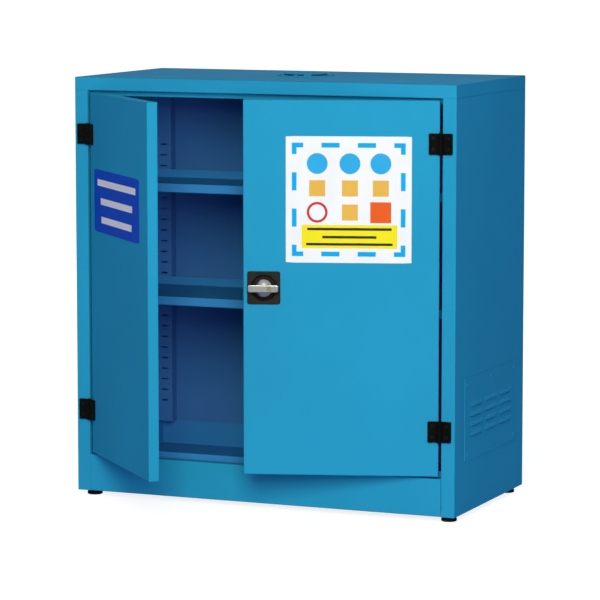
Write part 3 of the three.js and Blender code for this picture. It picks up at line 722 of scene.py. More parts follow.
def combined(obj: Piece, tool: Piece, how: Join) -> None:
    """Joins a tool to an object, or cuts it out, and drops the tool.

    Args:
        obj: the object that stays.
        tool: the object that is joined or cut out.
        how: which of the two is done.
    """
    modifier = obj.modifiers.new("combine", "BOOLEAN")
    modifier.operation = how.value
    modifier.solver = "EXACT"
    modifier.object = tool
    settle(obj)
    discard(tool)


def eased(obj: Piece, width: float, angle: float = SHARP_ANGLE) -> None:
    """Rounds an object's sharp edges and smooths what is left.

    Args:
        obj: the object.
        width: the rounding's width.
        angle: the least turn in degrees that makes an edge sharp.
    """
    modifier = obj.modifiers.new("ease", "BEVEL")
    modifier.width = width
    modifier.segments = EASE_SEGMENTS
    modifier.limit_method = "ANGLE"
    modifier.angle_limit = math.radians(angle)
    settle(obj)
    smoothed(obj, angle)


def smoothed(obj: Piece, angle: float = SHARP_ANGLE) -> None:
    """Shades an object smooth, with sharp edges kept and large faces left flat.

    Args:
        obj: the object.
        angle: the least turn in degrees that makes an edge sharp.
    """
    obj.data.shade_smooth()
    obj.data.set_sharp_from_angle(angle=math.radians(angle))
    modifier = obj.modifiers.new("flatten", "WEIGHTED_NORMAL")
    modifier.keep_sharp = True
    modifier.weight = FLAT_WEIGHT
    settle(obj)


def finished(obj: Piece, finish: Finish, body: str, nodes: Sequence[str] = ()) -> None:
    """Dresses a piece and puts it on its body.

    Args:
        obj: the piece, in its place.
        finish: its finish.
        body: the CAD body that it moves with.
        nodes: the CAD nodes that it stands for.
    """
    obj.data.materials.clear()
    obj.data.materials.append(finish.material())
    for polygon in obj.data.polygons:
        polygon.material_index = 0
    if nodes:
        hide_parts(*nodes)
    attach(obj, body)
    LOG.info("%s on %s: %d faces", obj.name, body, len(obj.data.polygons))


def placed(obj: Piece, place: Matrix) -> Piece:
    """Moves an object's mesh, and leaves the object at the origin.

    Args:
        obj: the object.
        place: where its mesh goes.

    Returns:
        The same object.
    """
    obj.data.transform(place)
    if place.determinant() < 0:
        obj.data.flip_normals()
    return obj


# Repeats


class HeadTree:
    """Geometry Nodes that set one head on every point of a mesh, turned to the point's axis."""

    AXIS = "axis"
    TURN = "turn"

    def __init__(self, name: str) -> None:
        """Builds the tree.

        Args:
            name: the tree's name.
        """
        self.group = bpy.data.node_groups.new(name, "GeometryNodeTree")
        self.group.is_modifier = True
        face = self.group.interface
        face.new_socket("Points", in_out="INPUT", socket_type="NodeSocketGeometry")
        self.inputs = {
            label: face.new_socket(label, in_out="INPUT", socket_type=kind)
            for label, kind in (
                ("Head", "NodeSocketObject"),
                ("Spin", "NodeSocketFloat"),
                ("Seed", "NodeSocketInt"),
                ("Finish", "NodeSocketMaterial"),
            )
        }
        face.new_socket("Heads", in_out="OUTPUT", socket_type="NodeSocketGeometry")
        self._build(NodeMaker(self.group))

    def _build(self, maker: NodeMaker) -> None:
        """Adds the tree's nodes.

        Args:
            maker: the tree.
        """
        given = maker.node("NodeGroupInput").outputs
        axis = maker.node(
            "GeometryNodeInputNamedAttribute", {"data_type": "FLOAT_VECTOR"}, {"Name": self.AXIS}
        )
        turn = maker.node(
            "GeometryNodeInputNamedAttribute", {"data_type": "FLOAT"}, {"Name": self.TURN}
        )
        upright = maker.node(
            "FunctionNodeAlignRotationToVector", {"axis": "Z"}, {"Vector": axis.outputs[0]}
        )
        chance = maker.node(
            "FunctionNodeRandomValue",
            {"data_type": "FLOAT"},
            {"Min": 0.0, "Max": given["Spin"], "Seed": given["Seed"]},
        )
        total = maker.node(
            "ShaderNodeMath", {"operation": "ADD"}, {0: turn.outputs[0], 1: live(chance)}
        )
        spin = maker.node(
            "FunctionNodeAxisAngleToRotation",
            sockets={"Axis": (0.0, 0.0, 1.0), "Angle": total.outputs[0]},
        )
        turned = maker.node(
            "FunctionNodeRotateRotation",
            {"rotation_space": "LOCAL"},
            {"Rotation": upright.outputs[0], "Rotate By": spin.outputs[0]},
        )
        head = maker.node("GeometryNodeObjectInfo", sockets={"Object": given["Head"]})
        instances = maker.node(
            "GeometryNodeInstanceOnPoints",
            sockets={
                "Points": given["Points"],
                "Instance": head.outputs["Geometry"],
                "Rotation": turned.outputs[0],
            },
        )
        real = maker.node("GeometryNodeRealizeInstances", sockets={0: instances.outputs[0]})
        coloured = maker.node(
            "GeometryNodeSetMaterial",
            sockets={"Geometry": real.outputs[0], "Material": given["Finish"]},
        )
        maker.node("NodeGroupOutput", sockets={0: coloured.outputs[0]})

    def set_on(
        self,
        name: str,
        head: Piece,
        stations: Sequence[Station],
        finish: Finish,
        spin: float = 0.0,
        seed: int = 1,
    ) -> Piece:
        """Sets a head on each station and makes one plain mesh of them.

        Args:
            name: the piece's name.
            head: the head, which looks along its own Z. It is taken away afterwards.
            stations: for each head its place, the way it looks, and its turn.
            finish: the heads' finish.
            spin: the most that a head is turned by chance.
            seed: the seed of that chance.

        Returns:
            The piece, not yet on a body.
        """
        mesh = bpy.data.meshes.new(name)
        mesh.from_pydata([place for place, _, _ in stations], [], [])
        mesh.attributes.new(self.AXIS, "FLOAT_VECTOR", "POINT")
        mesh.attributes.new(self.TURN, "FLOAT", "POINT")
        for number, (_, axis, turn) in enumerate(stations):
            mesh.attributes[self.AXIS].data[number].vector = axis
            mesh.attributes[self.TURN].data[number].value = turn
        piece = new_piece(name, mesh)
        modifier = piece.modifiers.new("heads", "NODES")
        modifier.node_group = self.group
        values = {"Head": head, "Spin": spin, "Seed": seed, "Finish": finish.material()}
        for label, value in values.items():
            modifier[self.inputs[label].identifier] = value
        settle(piece)
        smoothed(piece)
        discard(head)
        return piece


class HeadShape(Enum):
    """The shapes of small heads."""

    DOME = "blind rivet"
    SUNK = "countersunk screw with a hexagon socket"
    PAN = "pan-head screw with a cross recess"


@dataclass
class HeadMaker:
    """Makes the heads of screws and rivets, with their seats at z = 0.

    The walls are pairs of shares: of the head's radius, and of its height.
    """

    count: int = 36
    sink: float = 0.0006
    dome_wall: float = 0.15
    dome_sweep: float = 68.0
    dome_steps: int = 5
    mandrel_hole: tuple[Pair, ...] = ((0.3, 0.96), (0.27, 0.35))
    sunk_wall: tuple[Pair, ...] = ((1.0, 0.4), (0.93, 1.0))
    socket_flats: float = 0.85
    socket_wall: tuple[Pair, ...] = ((1.08, 1.0), (1.0, 0.8))
    socket_depth: float = 0.5
    pan_wall: tuple[Pair, ...] = ((1.0, 0.45), (0.93, 0.8), (0.76, 0.97), (0.62, 1.0))
    cross_reach: float = 0.56
    cross_half_slot: float = 0.13
    cross_wall: tuple[Pair, ...] = ((1.0, 1.0), (0.8, 0.3))

    def make(self, shape: HeadShape, radius: float, height: float) -> Piece:
        """Makes one head.

        Args:
            shape: which head.
            radius: its radius.
            height: how far it stands up.

        Returns:
            The head, to be set on its stations.
        """
        walls = {HeadShape.DOME: self._dome, HeadShape.SUNK: self._sunk, HeadShape.PAN: self._pan}
        profile = [(radius, -self.sink), *walls[shape](radius, height)]
        head = profile_shell(profile, self.count).piece(f"head_{shape.name.lower()}")
        smoothed(head, CRISP_ANGLE)
        return head

    @staticmethod
    def _wall(outline: float | Outline, shares: Sequence[Pair], height: float) -> list[Level]:
        """Levels at shares of a radius, which may be a function of the angle, and of a height."""
        shape = outline if callable(outline) else lambda angle: outline
        return [(lambda angle, out=out: shape(angle) * out, height * up) for out, up in shares]

    def _dome(self, radius: float, height: float) -> list[Level]:
        """A blind rivet's low dome, with the mandrel's hole in its top.

        Args:
            radius: the head's radius.
            height: the head's height.

        Returns:
            The levels.
        """
        shares = [(1.0, self.dome_wall)]
        for step in range(1, self.dome_steps + 1):
            angle = step / self.dome_steps * math.radians(self.dome_sweep)
            rise = self.dome_wall + (1.0 - self.dome_wall) * math.sin(angle)
            shares.append((math.cos(angle), rise))
        return self._wall(radius, (*shares, *self.mandrel_hole), height)

    def _sunk(self, radius: float, height: float) -> list[Level]:
        """A countersunk screw's flat head, with a chamfered rim and a socket.

        Args:
            radius: the head's radius.
            height: the head's height.

        Returns:
            The levels.
        """
        socket = hexagon(radius * self.socket_flats)
        return [
            *self._wall(radius, self.sunk_wall, height),
            *self._wall(socket, self.socket_wall, height),
            (socket, -self.sink * self.socket_depth),
        ]

    def _pan(self, radius: float, height: float) -> list[Level]:
        """A pan-head screw's low rounded head, with a cross recess.

        Args:
            radius: the head's radius.
            height: the head's height.

        Returns:
            The levels.
        """
        recess = cross(radius * self.cross_reach, radius * self.cross_half_slot)
        rim = self._wall(radius, self.pan_wall, height)
        return rim + self._wall(recess, self.cross_wall, height)


# Sub-assemblies


@dataclass
class DoorPlace:
    """Where a door stands at rest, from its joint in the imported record."""

    joint: str
    body: str
    side: int
    stand: float = 0.007

    def matrix(self) -> Matrix:
        """From the door's own axes to the frame's.

        Returns:
            The matrix, with the origin on the door's outer face beside the pin.
        """
        found = next(j for j in frame["joints"] if j["name"] == self.joint)
        pin_x, pin_y, _ = found["pos_m"]
        opening = -found["range_deg"][0]
        return shift(pin_x, pin_y) @ spun(self.side * opening) @ shift(y=self.stand)


@dataclass
class SheetMetal:
    """The folded sheets and small fittings that keep their CAD shape."""

    skirt_height: float = 0.032
    seam_half_height: float = 0.0008
    seam_depth: float = 0.0009
    seam_edge: float = 0.0002

    def open_seam(self) -> None:
        """Opens the seam between the roof's skirt and the side panels to a fine groove."""
        rounder = Rounder(edge=self.seam_edge)
        for node in ("roof_panel", "side_panel_left", "side_panel_right"):
            rounder.replace(node, "casing", OUTSIDE_PAINT, [self._seam()])

    def _seam(self) -> Piece:
        """A cutter that runs round the casing along the skirt's lower edge.

        Returns:
            The cutter.
        """
        low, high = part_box("roof_panel")
        level = high.z - self.skirt_height
        middle_x, middle_y = (low.x + high.x) / 2, (low.y + high.y) / 2
        width, depth = high.x - low.x, high.y - low.y
        inner, outer = (
            levels(
                rectangle(middle_x, middle_y, width + grow, depth + grow),
                level - self.seam_half_height,
                level + self.seam_half_height,
            )
            for grow in (-2 * self.seam_depth, 2 * self.seam_depth)
        )
        return Shell().lofted([inner[0], outer[0], outer[1], inner[1]], True).piece("seam")

    def dress(self) -> None:
        """Gives each CAD node that still shows the finish of its slot."""
        slots = {row["node"]: row["material_slot"] for row in frame["record"]["subparts"]}
        low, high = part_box("back_panel")
        # Painted shade: the back panel's inner face takes the inside paint's darker colour, which stands in for
        # shade, and its outer face the outside paint.
        painted_shade_inside = replace(
            INSIDE_PAINTED_SHADE,
            name="back_paint",
            rear_colour=OUTSIDE_PAINT.colour,
            rear_from=(low.y + high.y) / 2,
        )
        finishes = {"sump_tray": SHELF_PAINTED_SHADE, "back_panel": painted_shade_inside}
        for name, node in frame["nodes"].items():
            if node.hide_render:
                continue
            material = (finishes.get(name) or SLOT_FINISHES[slots[name]]).material()
            if not node.material_slots:
                node.data.materials.append(material)
            for place in node.material_slots:
                place.material = material
            LOG.info("%s takes %s", name, material.name)


@dataclass
class Rounder:
    """Stand-ins for CAD pieces of the right shape, with eased edges and smooth shading."""

    edge: float = 0.0004
    angle: float = 38.0

    def replace(
        self, node: str, body: str, finish: Finish, cutters: Sequence[Piece] = ()
    ) -> None:
        """Puts an eased and smoothed copy in place of a CAD node.

        Args:
            node: the CAD node.
            body: its body.
            finish: the copy's finish.
            cutters: what is cut out of the copy first.
        """
        work = bmesh.new()
        work.from_mesh(frame["nodes"][node].data)
        bmesh.ops.remove_doubles(work, verts=work.verts, dist=SAME_CAD_PLACE)
        flat = math.radians(SAME_FACE_ANGLE)
        bmesh.ops.dissolve_limit(work, angle_limit=flat, verts=work.verts, edges=work.edges)
        copy = piece_of(node + "_dressed", work)
        for cutter in cutters:
            combined(copy, cutter, Join.CUT)
        eased(copy, self.edge, self.angle)
        finished(copy, finish, body, [node])


@dataclass
class Hinge:
    """A moulded two-leaf hinge. Its own axes have Z along the pin and Y into the door."""

    height: float = 0.050
    leaf_width: float = 0.028
    leaf_thickness: float = 0.006
    corner: float = 0.0015
    edge: float = 0.0005
    stand: float = 0.007
    gap: float = 0.0003
    knuckle_share: float = 0.34
    bore: float = 0.00315
    pin_radius: float = 0.003
    pin_head: float = 0.0044
    pin_rise: float = 0.0016
    pin_play: float = 0.0002
    pin_crown: tuple[Pair, ...] = ((1.0, 0.3), (0.9, 0.75), (0.6, 1.0))
    screw_out: float = 0.0175
    screw_up: float = 0.0135
    screw_radius: float = 0.0042
    screw_height: float = 0.0004
    outline_count: int = 160
    count: int = 48

    def leaf(self, name: str, on_door: bool) -> Piece:
        """Makes one leaf, on the high-x side of the pin.

        Args:
            name: the piece's name.
            on_door: whether it has the middle knuckle.

        Returns:
            The leaf.
        """
        back = self.stand - self.gap
        half = self.height / 2
        beyond = self.height
        middle = self.height * self.knuckle_share / 2
        outline = rounded_box(self.leaf_width, half, self.corner)
        flat = plate_shell(outline, back - self.leaf_thickness, back, self.outline_count)
        leaf = flat.piece(name, spun(-90, "X"))
        start = -self.leaf_width * 2
        combined(leaf, block((start, -beyond, -beyond), (0.0, beyond, beyond)), Join.CUT)
        inner = middle - self.gap / 2
        outer = middle + self.gap / 2
        bands = [(-inner, inner)] if on_door else [(-half, -outer), (outer, half)]
        notches = [(-beyond, -inner), (inner, beyond)] if on_door else [(-outer, outer)]
        reach = back + self.gap
        for low, high in notches:
            combined(leaf, block((start, -reach, low), (reach, back * 2, high)), Join.CUT)
        for low, high in bands:
            knuckle = profile_shell([(back, low), (back, high)], self.count)
            combined(leaf, knuckle.piece("knuckle"), Join.ADD)
        hole = profile_shell([(self.bore, -beyond), (self.bore, beyond)], self.count)
        combined(leaf, hole.piece("bore"), Join.CUT)
        eased(leaf, self.edge)
        return leaf

    def pin(self, name: str) -> Piece:
        """Makes the pin with its two rounded heads.

        Args:
            name: the pin's name.

        Returns:
            The pin.
        """
        half = self.height / 2 + self.pin_play
        crown = [(self.pin_head * out, half + self.pin_rise * up) for out, up in self.pin_crown]
        upper = [(self.pin_radius, half), (self.pin_head, half), *crown]
        lower = [(radius, -height) for radius, height in reversed(upper)]
        pin = profile_shell(lower + upper, self.count).piece(name)
        smoothed(pin)
        return pin

    def screw_stations(self, place: Matrix, side: int) -> list[Station]:
        """Places of a leaf's two screws.

        Args:
            place: from the hinge's own axes to the frame's.
            side: 1 where the leaf is on the high-x side of the pin.

        Returns:
            A station for each screw.
        """
        face = self.stand - self.gap - self.leaf_thickness
        axis = place.to_3x3() @ Vector((0.0, -1.0, 0.0))
        return [
            (place @ Vector((side * self.screw_out, face, up)), axis, 0.0)
            for up in (-self.screw_up, self.screw_up)
        ]


@dataclass
class HingeSet:
    """The four hinges with their pins and screws."""

    doors: Sequence[DoorPlace]
    heads: HeadTree
    shape: Hinge = field(default_factory=Hinge)
    spin: float = math.pi / 3
    seed: int = 7

    def build(self) -> None:
        """Builds every hinge and its screws."""
        for door in self.doors:
            word = "right" if door.side > 0 else "left"
            swing = door.matrix() @ shift(y=-door.stand)
            still = Matrix.Translation(swing.translation)
            stations: dict[str, list[Station]] = {"frame": [], "door": []}
            bodies = {"frame": "casing", "door": door.body}
            for level in ("upper", "lower"):
                low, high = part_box(f"hinge_frame_{level}_{word}")
                rise = shift(z=(low.z + high.z) / 2)
                for kind, place, side in (("frame", still, door.side), ("door", swing, -door.side)):
                    node = f"hinge_{kind}_{level}_{word}"
                    leaf = self.shape.leaf(node + "_moulding", kind == "door")
                    mirror = Matrix.Scale(side, 4, (1.0, 0.0, 0.0))
                    finished(placed(leaf, rise @ place @ mirror), PLASTIC, bodies[kind], [node])
                    stations[kind] += self.shape.screw_stations(rise @ place, side)
                node = f"hinge_pin_{level}_{word}"
                pin = placed(self.shape.pin(node + "_steel"), rise @ still)
                finished(pin, BLACK_STEEL, "casing", [node])
            for kind, places in stations.items():
                screw = HeadMaker().make(
                    HeadShape.SUNK, self.shape.screw_radius, self.shape.screw_height
                )
                screws = self.heads.set_on(
                    f"hinge_screws_{kind}_{word}", screw, places, BLACK_STEEL, self.spin, self.seed
                )
                finished(screws, BLACK_STEEL, bodies[kind])


@dataclass
class Lock:
    """The dish, the T-handle and the key plug, round the spindle's axis.

    A pair in a table is a step outwards and a step up from the edge that it belongs to.
    """

    door: DoorPlace
    height: float = 0.5613
    from_pin: float = 0.4185
    dish_half: float = 0.0395
    dish_corner: float = 0.005
    dish_bevel: float = 0.001
    dish_face: float = 0.003
    dish_depth: float = 0.014
    dish_floor: float = 0.012
    rim_radius: float = 0.033
    recess_radius: float = 0.031
    recess_groove: tuple[Pair, ...] = (
        (0.0028, 0.0),
        (0.0022, -0.0005),
        (0.0012, -0.0005),
        (0.0005, 0.0),
        (0.0, -0.0006),
    )
    floor_radius: float = 0.028
    floor_curve: tuple[Pair, ...] = ((0.0003, 0.0012), (-0.0009, 0.0))
    bearing: float = 0.007
    gap: float = 0.0003
    grip_length: float = 0.073
    grip_height: float = 0.018
    grip_front: float = 0.024
    grip_depth: float = 0.013
    grip_corner: float = 0.004
    grip_edge: float = 0.0024
    grip_curve: tuple[Pair, ...] = ((1.0, 0.0), (0.3, 0.3), (0.0, 1.0))
    dome_radius: float = 0.022
    dome_front: float = 0.017
    dome_back: float = 0.005
    dome_tip: float = 0.0004
    dome_steps: int = 14
    rim_tilt: float = 50.0
    hub_radius: float = 0.010
    pocket_width: float = 0.0086
    pocket_top: float = 0.0083
    handle_edge: float = 0.0004
    handle_angle: float = 42.0
    plug_radius: float = 0.005
    plug_out: float = 0.015
    plug_depth: float = 0.009
    plug_stand: float = 0.0008
    plug_chamfer: float = 0.0005
    key_slot: Triple = (0.001, 0.0065, 0.0045)
    count: int = 128
    dome_count: int = 96
    plug_count: int = 48

    def place(self) -> Matrix:
        """From the lock's axes, with Z out of the door's face, to the frame's."""
        return self.door.matrix() @ shift(-self.from_pin, 0.0, self.height) @ spun(90, "X")

    def build(self) -> None:
        """Builds the dish, the handle and the plug."""
        place = self.place()
        finished(placed(self.dish(), place), DISH_PLASTIC, "right_door", ["lock_dish"])
        finished(placed(self.handle(), place), CHROME, "handle", ["lock_handle"])
        finished(placed(self.plug(), place), KEY_METAL, "key_cylinder", ["key_plug"])

    def dish(self) -> Piece:
        """Makes the square dish with its round recess.

        Returns:
            The dish.
        """
        half, corner, bevel = self.dish_half, self.dish_corner, self.dish_bevel
        square = rounded_box(half, half, corner)
        bevelled = rounded_box(half - bevel, half - bevel, corner - bevel)
        face, floor = self.dish_face, -self.dish_floor
        steps = [
            (self.bearing, -self.dish_depth),
            (self.rim_radius, -self.dish_depth),
            (self.rim_radius, self.gap),
            (square, self.gap),
            (square, face - bevel),
            (bevelled, face),
            *((self.recess_radius + out, face + up) for out, up in self.recess_groove),
            *((self.floor_radius + out, floor + up) for out, up in self.floor_curve),
            (self.bearing, floor),
        ]
        dish = profile_shell(steps, self.count, True).piece("lock_dish_moulding")
        smoothed(dish, CRISP_ANGLE)
        return dish

    def handle(self) -> Piece:
        """Makes the T-handle from its dome and its grip, with the pockets for plug and spindle.

        Returns:
            The handle.
        """
        profile = [
            (self.hub_radius, self.gap - self.dish_floor),
            (self.hub_radius, -self.dome_back),
            (self.dome_radius, -self.dome_back),
        ]
        curve = self.dome_radius / math.sin(math.radians(self.rim_tilt))
        for step in range(self.dome_steps):
            angle = math.radians(self.rim_tilt) * (1.0 - step / self.dome_steps)
            rise = self.dome_front - curve * (1.0 - math.cos(angle))
            profile.append((curve * math.sin(angle), rise))
        profile.append((self.dome_tip, self.dome_front))
        handle = profile_shell(profile, self.dome_count).piece("lock_handle_casting")
        combined(handle, self._grip(), Join.ADD)
        floor = self.grip_front - self.plug_depth - self.gap
        radius = self.plug_radius + self.gap
        bore = profile_shell([(radius, floor), (radius, self.grip_front * 2)], self.plug_count)
        combined(handle, bore.piece("bore", shift(self.plug_out)), Join.CUT)
        square = rectangle(0.0, 0.0, self.pocket_width, self.pocket_width)
        pocket = prism(square, -self.dish_depth * 2, self.pocket_top)
        combined(handle, pocket.piece("pocket"), Join.CUT)
        eased(handle, self.handle_edge, self.handle_angle)
        return handle

    def _grip(self) -> Piece:
        """Makes the grip bar with its rounded edges.

        Returns:
            The grip.
        """
        front, back = self.grip_front, self.grip_front - self.grip_depth
        edge = self.grip_edge
        steps = [(back + edge * up, edge * inset) for inset, up in self.grip_curve]
        steps += [(front - edge * up, edge * inset) for inset, up in reversed(self.grip_curve)]
        profile = []
        for height, inset in steps:
            half_length, half_height = self.grip_length / 2 - inset, self.grip_height / 2 - inset
            profile.append((rounded_box(half_length, half_height, self.grip_corner), height))
        return profile_shell(profile, self.count).piece("grip")

    def plug(self) -> Piece:
        """Makes the key plug with its slot.

        Returns:
            The plug.
        """
        top = self.grip_front + self.plug_stand
        profile = [
            (self.plug_radius, self.grip_front - self.plug_depth),
            (self.plug_radius, top - self.plug_chamfer),
            (self.plug_radius - self.plug_chamfer, top),
        ]
        side = shift(self.plug_out)
        plug = profile_shell(profile, self.plug_count).piece("key_plug_turned", side)
        width, length, depth = self.key_slot
        slot = prism(rectangle(0.0, 0.0, width, length), top - depth, top + depth)
        combined(plug, slot.piece("slot", side), Join.CUT)
        smoothed(plug, CRISP_ANGLE)
        return plug


@dataclass
class VentCover:
    """A riveted side plate with rows of pressed louvres."""

    side: int
    heads: HeadTree
    face: float = 0.5014
    edge: float = 0.0003
    angle: float = 48.0
    rivet_radius: float = 0.0042
    rivet_height: float = 0.0014
    rivet_inset: float = 0.013
    rivet_above: float = 0.016
    rivet_below: float = 0.017
    columns: int = 3
    rows: int = 4
    column_pitch: float = 0.1055
    row_pitch: float = 0.0237
    lowest_row: float = 0.0591
    slit_length: float = 0.078
    slit_height: float = 0.0024

    def build(self) -> None:
        """Dresses the plate and rivets it on."""
        word = "right" if self.side > 0 else "left"
        node = f"vent_cover_{word}"
        low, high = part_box(node)
        heights = (low.z + self.rivet_above, high.z - self.rivet_below)
        depths = (low.y + self.rivet_inset, (low.y + high.y) / 2, high.y - self.rivet_inset)
        axis = Vector((self.side, 0.0, 0.0))
        face = self.side * self.face
        stations = [(Vector((face, y, z)), axis, 0.0) for y in depths for z in heights]
        rivet = HeadMaker().make(HeadShape.DOME, self.rivet_radius, self.rivet_height)
        rivets = self.heads.set_on(f"vent_rivets_{word}", rivet, stations, OUTSIDE_PAINT)
        finished(rivets, OUTSIDE_PAINT, "casing")
        slits = [self._slit(low, high, c, r) for c in range(self.columns) for r in range(self.rows)]
        Rounder(self.edge, self.angle).replace(node, "casing", OUTSIDE_PAINT, slits)

    def _slit(self, low: Vector, high: Vector, column: int, row: int) -> Piece:
        """A cutter for the slit that a louvre leaves under its lip.

        Args:
            low: the plate's lowest corner.
            high: the plate's highest corner.
            column: the louvre's column, from the front.
            row: the louvre's row, from below.

        Returns:
            The cutter.
        """
        middle = (low.y + high.y) / 2 + (column - (self.columns - 1) / 2) * self.column_pitch
        front, rear = middle - self.slit_length / 2, middle + self.slit_length / 2
        top = low.z + self.lowest_row + row * self.row_pitch
        inside, outside = low.x - OVERRUN, high.x + OVERRUN
        return block((inside, front, top - self.slit_height), (outside, rear, top))


@dataclass
class RoofOutlet:
    """The pressed round cover over the roof's outlet hole.

    The walls are pairs: a step outwards from the cap's radius, and a height.
    """

    heads: HeadTree
    flange_radius: float = 0.072
    flange: float = 0.0016
    edge: float = 0.0004
    cap_radius: float = 0.056
    cap_height: float = 0.005
    cap_middle: float = 0.0004
    inner_wall: tuple[Pair, ...] = ((-0.0024, 0.0034), (-0.0012, 0.0022), (0.0, 0.0))
    outer_wall: tuple[Pair, ...] = (
        (0.0026, 0.0016),
        (0.0012, 0.0024),
        (-0.0004, 0.0042),
        (-0.0020, 0.0050),
        (-0.0034, 0.0050),
    )
    slot_radius: float = 0.0635
    slot_half_width: float = 0.002
    slot_count: int = 3
    slot_sweep: float = 58.0
    slot_turn: float = 90.0
    window_turns: Pair = (237.0, 357.0)
    window_sweep: float = 100.0
    window_low: float = 0.0016
    window_high: float = 0.0045
    catch_turn: float = 294.0
    catch_length: float = 0.010
    catch_width: float = 0.0032
    catch_top: float = 0.0048
    screw_radius: float = 0.0040
    screw_height: float = 0.0022
    spin: float = math.pi
    seed: int = 3
    count: int = 144
    cutter_steps: int = 24

    def build(self) -> None:
        """Builds the cover, its screws and its catch."""
        low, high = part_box("outlet_cover")
        place = shift((low.x + high.x) / 2, (low.y + high.y) / 2, low.z)
        finished(placed(self._cover(), place), OUTSIDE_PAINT, "casing", ["outlet_cover"])
        finished(self._screws(place), OUTSIDE_PAINT, "casing")
        finished(placed(self._catch(), place), OUTSIDE_PAINT, "casing")

    def _cover(self) -> Piece:
        """The pressing: a flange with curved slots round a cap with side windows.

        Returns:
            The pressing.
        """
        profile = [
            (self.cap_middle, self.cap_height - self.flange),
            *((self.cap_radius + out, height) for out, height in self.inner_wall),
            (self.flange_radius, 0.0),
            (self.flange_radius, self.flange - self.edge),
            (self.flange_radius - self.edge, self.flange),
            *((self.cap_radius + out, height) for out, height in self.outer_wall),
            (self.cap_middle, self.cap_height),
        ]
        cover = profile_shell(profile, self.count).piece("outlet_cover_pressing")
        reach = self.cap_height * 2
        half = self.slot_half_width
        for number in range(self.slot_count):
            middle = self.slot_turn + number * 360.0 / self.slot_count
            radii = (self.slot_radius - half, self.slot_radius + half)
            slot = self._curved_cutter(middle, self.slot_sweep, radii, (-reach, reach))
            combined(cover, slot, Join.CUT)
        for middle in self.window_turns:
            radii = (self.cap_radius - self.cap_height, self.cap_radius + self.cap_height)
            heights = (self.window_low, self.window_high)
            window = self._curved_cutter(middle, self.window_sweep, radii, heights)
            combined(cover, window, Join.CUT)
        smoothed(cover, CRISP_ANGLE)
        return cover

    def _screws(self, place: Matrix) -> Piece:
        """The flange's screws, between its slots.

        Args:
            place: the cover's place.

        Returns:
            The screws.
        """
        up = Vector((0.0, 0.0, 1.0))
        stations = []
        for number in range(self.slot_count):
            angle = math.radians(self.slot_turn) + math.tau * (number + 0.5) / self.slot_count
            out = Vector((math.cos(angle), math.sin(angle), 0.0)) * self.slot_radius
            stations.append((place @ (out + up * self.flange), up, 0.0))
        screw = HeadMaker().make(HeadShape.PAN, self.screw_radius, self.screw_height)
        return self.heads.set_on(
            "outlet_screws", screw, stations, OUTSIDE_PAINT, self.spin, self.seed
        )

    def _catch(self) -> Piece:
        """The small catch that stands on the flange, against the cap's wall.

        Returns:
            The catch.
        """
        outline = rounded_box(self.catch_length / 2, self.catch_width / 2, self.catch_width / 4)
        out = spun(self.catch_turn) @ shift(self.cap_radius + self.catch_length / 2)
        catch = plate_shell(outline, self.flange, self.catch_top).piece("outlet_catch", out)
        eased(catch, self.edge)
        return catch

    def _curved_cutter(self, middle: float, sweep: float, radii: Pair, heights: Pair) -> Piece:
        """A cutter that follows part of a circle.

        Args:
            middle: the angle of its middle, in degrees.
            sweep: how far it goes round, in degrees.
            radii: its inner and its outer radius.
            heights: its low and its high side.

        Returns:
            The cutter.
        """
        start, whole = math.radians(middle - sweep / 2), math.radians(sweep)
        angles = [start + whole * step / self.cutter_steps for step in range(self.cutter_steps + 1)]
        inner, outer = radii
        outline = [(inner * math.cos(a), inner * math.sin(a)) for a in angles]
        outline += [(outer * math.cos(a), outer * math.sin(a)) for a in reversed(angles)]
        return prism(outline, *heights).piece("cutter")


@dataclass
class BoltWork:
    """What the lock turns behind the door skin, with the gearbox's screws."""

    door: DoorPlace
    heads: HeadTree
    screw_radius: float = 0.0032
    screw_height: float = 0.0015
    screw_inset: float = 0.0065
    edge: float = 0.0003
    spin: float = math.pi
    seed: int = 5

    def build(self) -> None:
        """Dresses the rods, their guides, the spindle, the cam and the gearbox."""
        self._screws()
        rounder = Rounder(self.edge)
        for node, body, finish in (
            ("bolt_rod_upper", "upper_rod", ZINC),
            ("bolt_rod_lower", "lower_rod", ZINC),
            ("rod_guide_upper", "right_door", PLASTIC),
            ("rod_guide_lower", "right_door", PLASTIC),
            ("lock_spindle", "handle", ZINC),
            ("latch_cam", "handle", ZINC),
            ("cam_nut", "handle", ZINC),
            ("gearbox_cover", "right_door", ZINC),
            ("gearbox_base", "right_door", ZINC),
        ):
            rounder.replace(node, body, finish)

    def _screws(self) -> None:
        """Sets a screw in each corner of the gearbox cover."""
        place = self.door.matrix()
        away = place.inverted()
        points = [away @ corner.co for corner in frame["nodes"]["gearbox_cover"].data.vertices]
        low, high = (Vector(map(pick, zip(*points))) for pick in (min, max))
        axis = place.to_3x3() @ Vector((0.0, 1.0, 0.0))
        inset = self.screw_inset
        stations = [
            (place @ Vector((x, high.y, z)), axis, 0.0)
            for x in (low.x + inset, high.x - inset)
            for z in (low.z + inset, high.z - inset)
        ]
        screw = HeadMaker().make(HeadShape.PAN, self.screw_radius, self.screw_height)
        screws = self.heads.set_on("gearbox_screws", screw, stations, ZINC, self.spin, self.seed)
        finished(screws, ZINC, self.door.body)


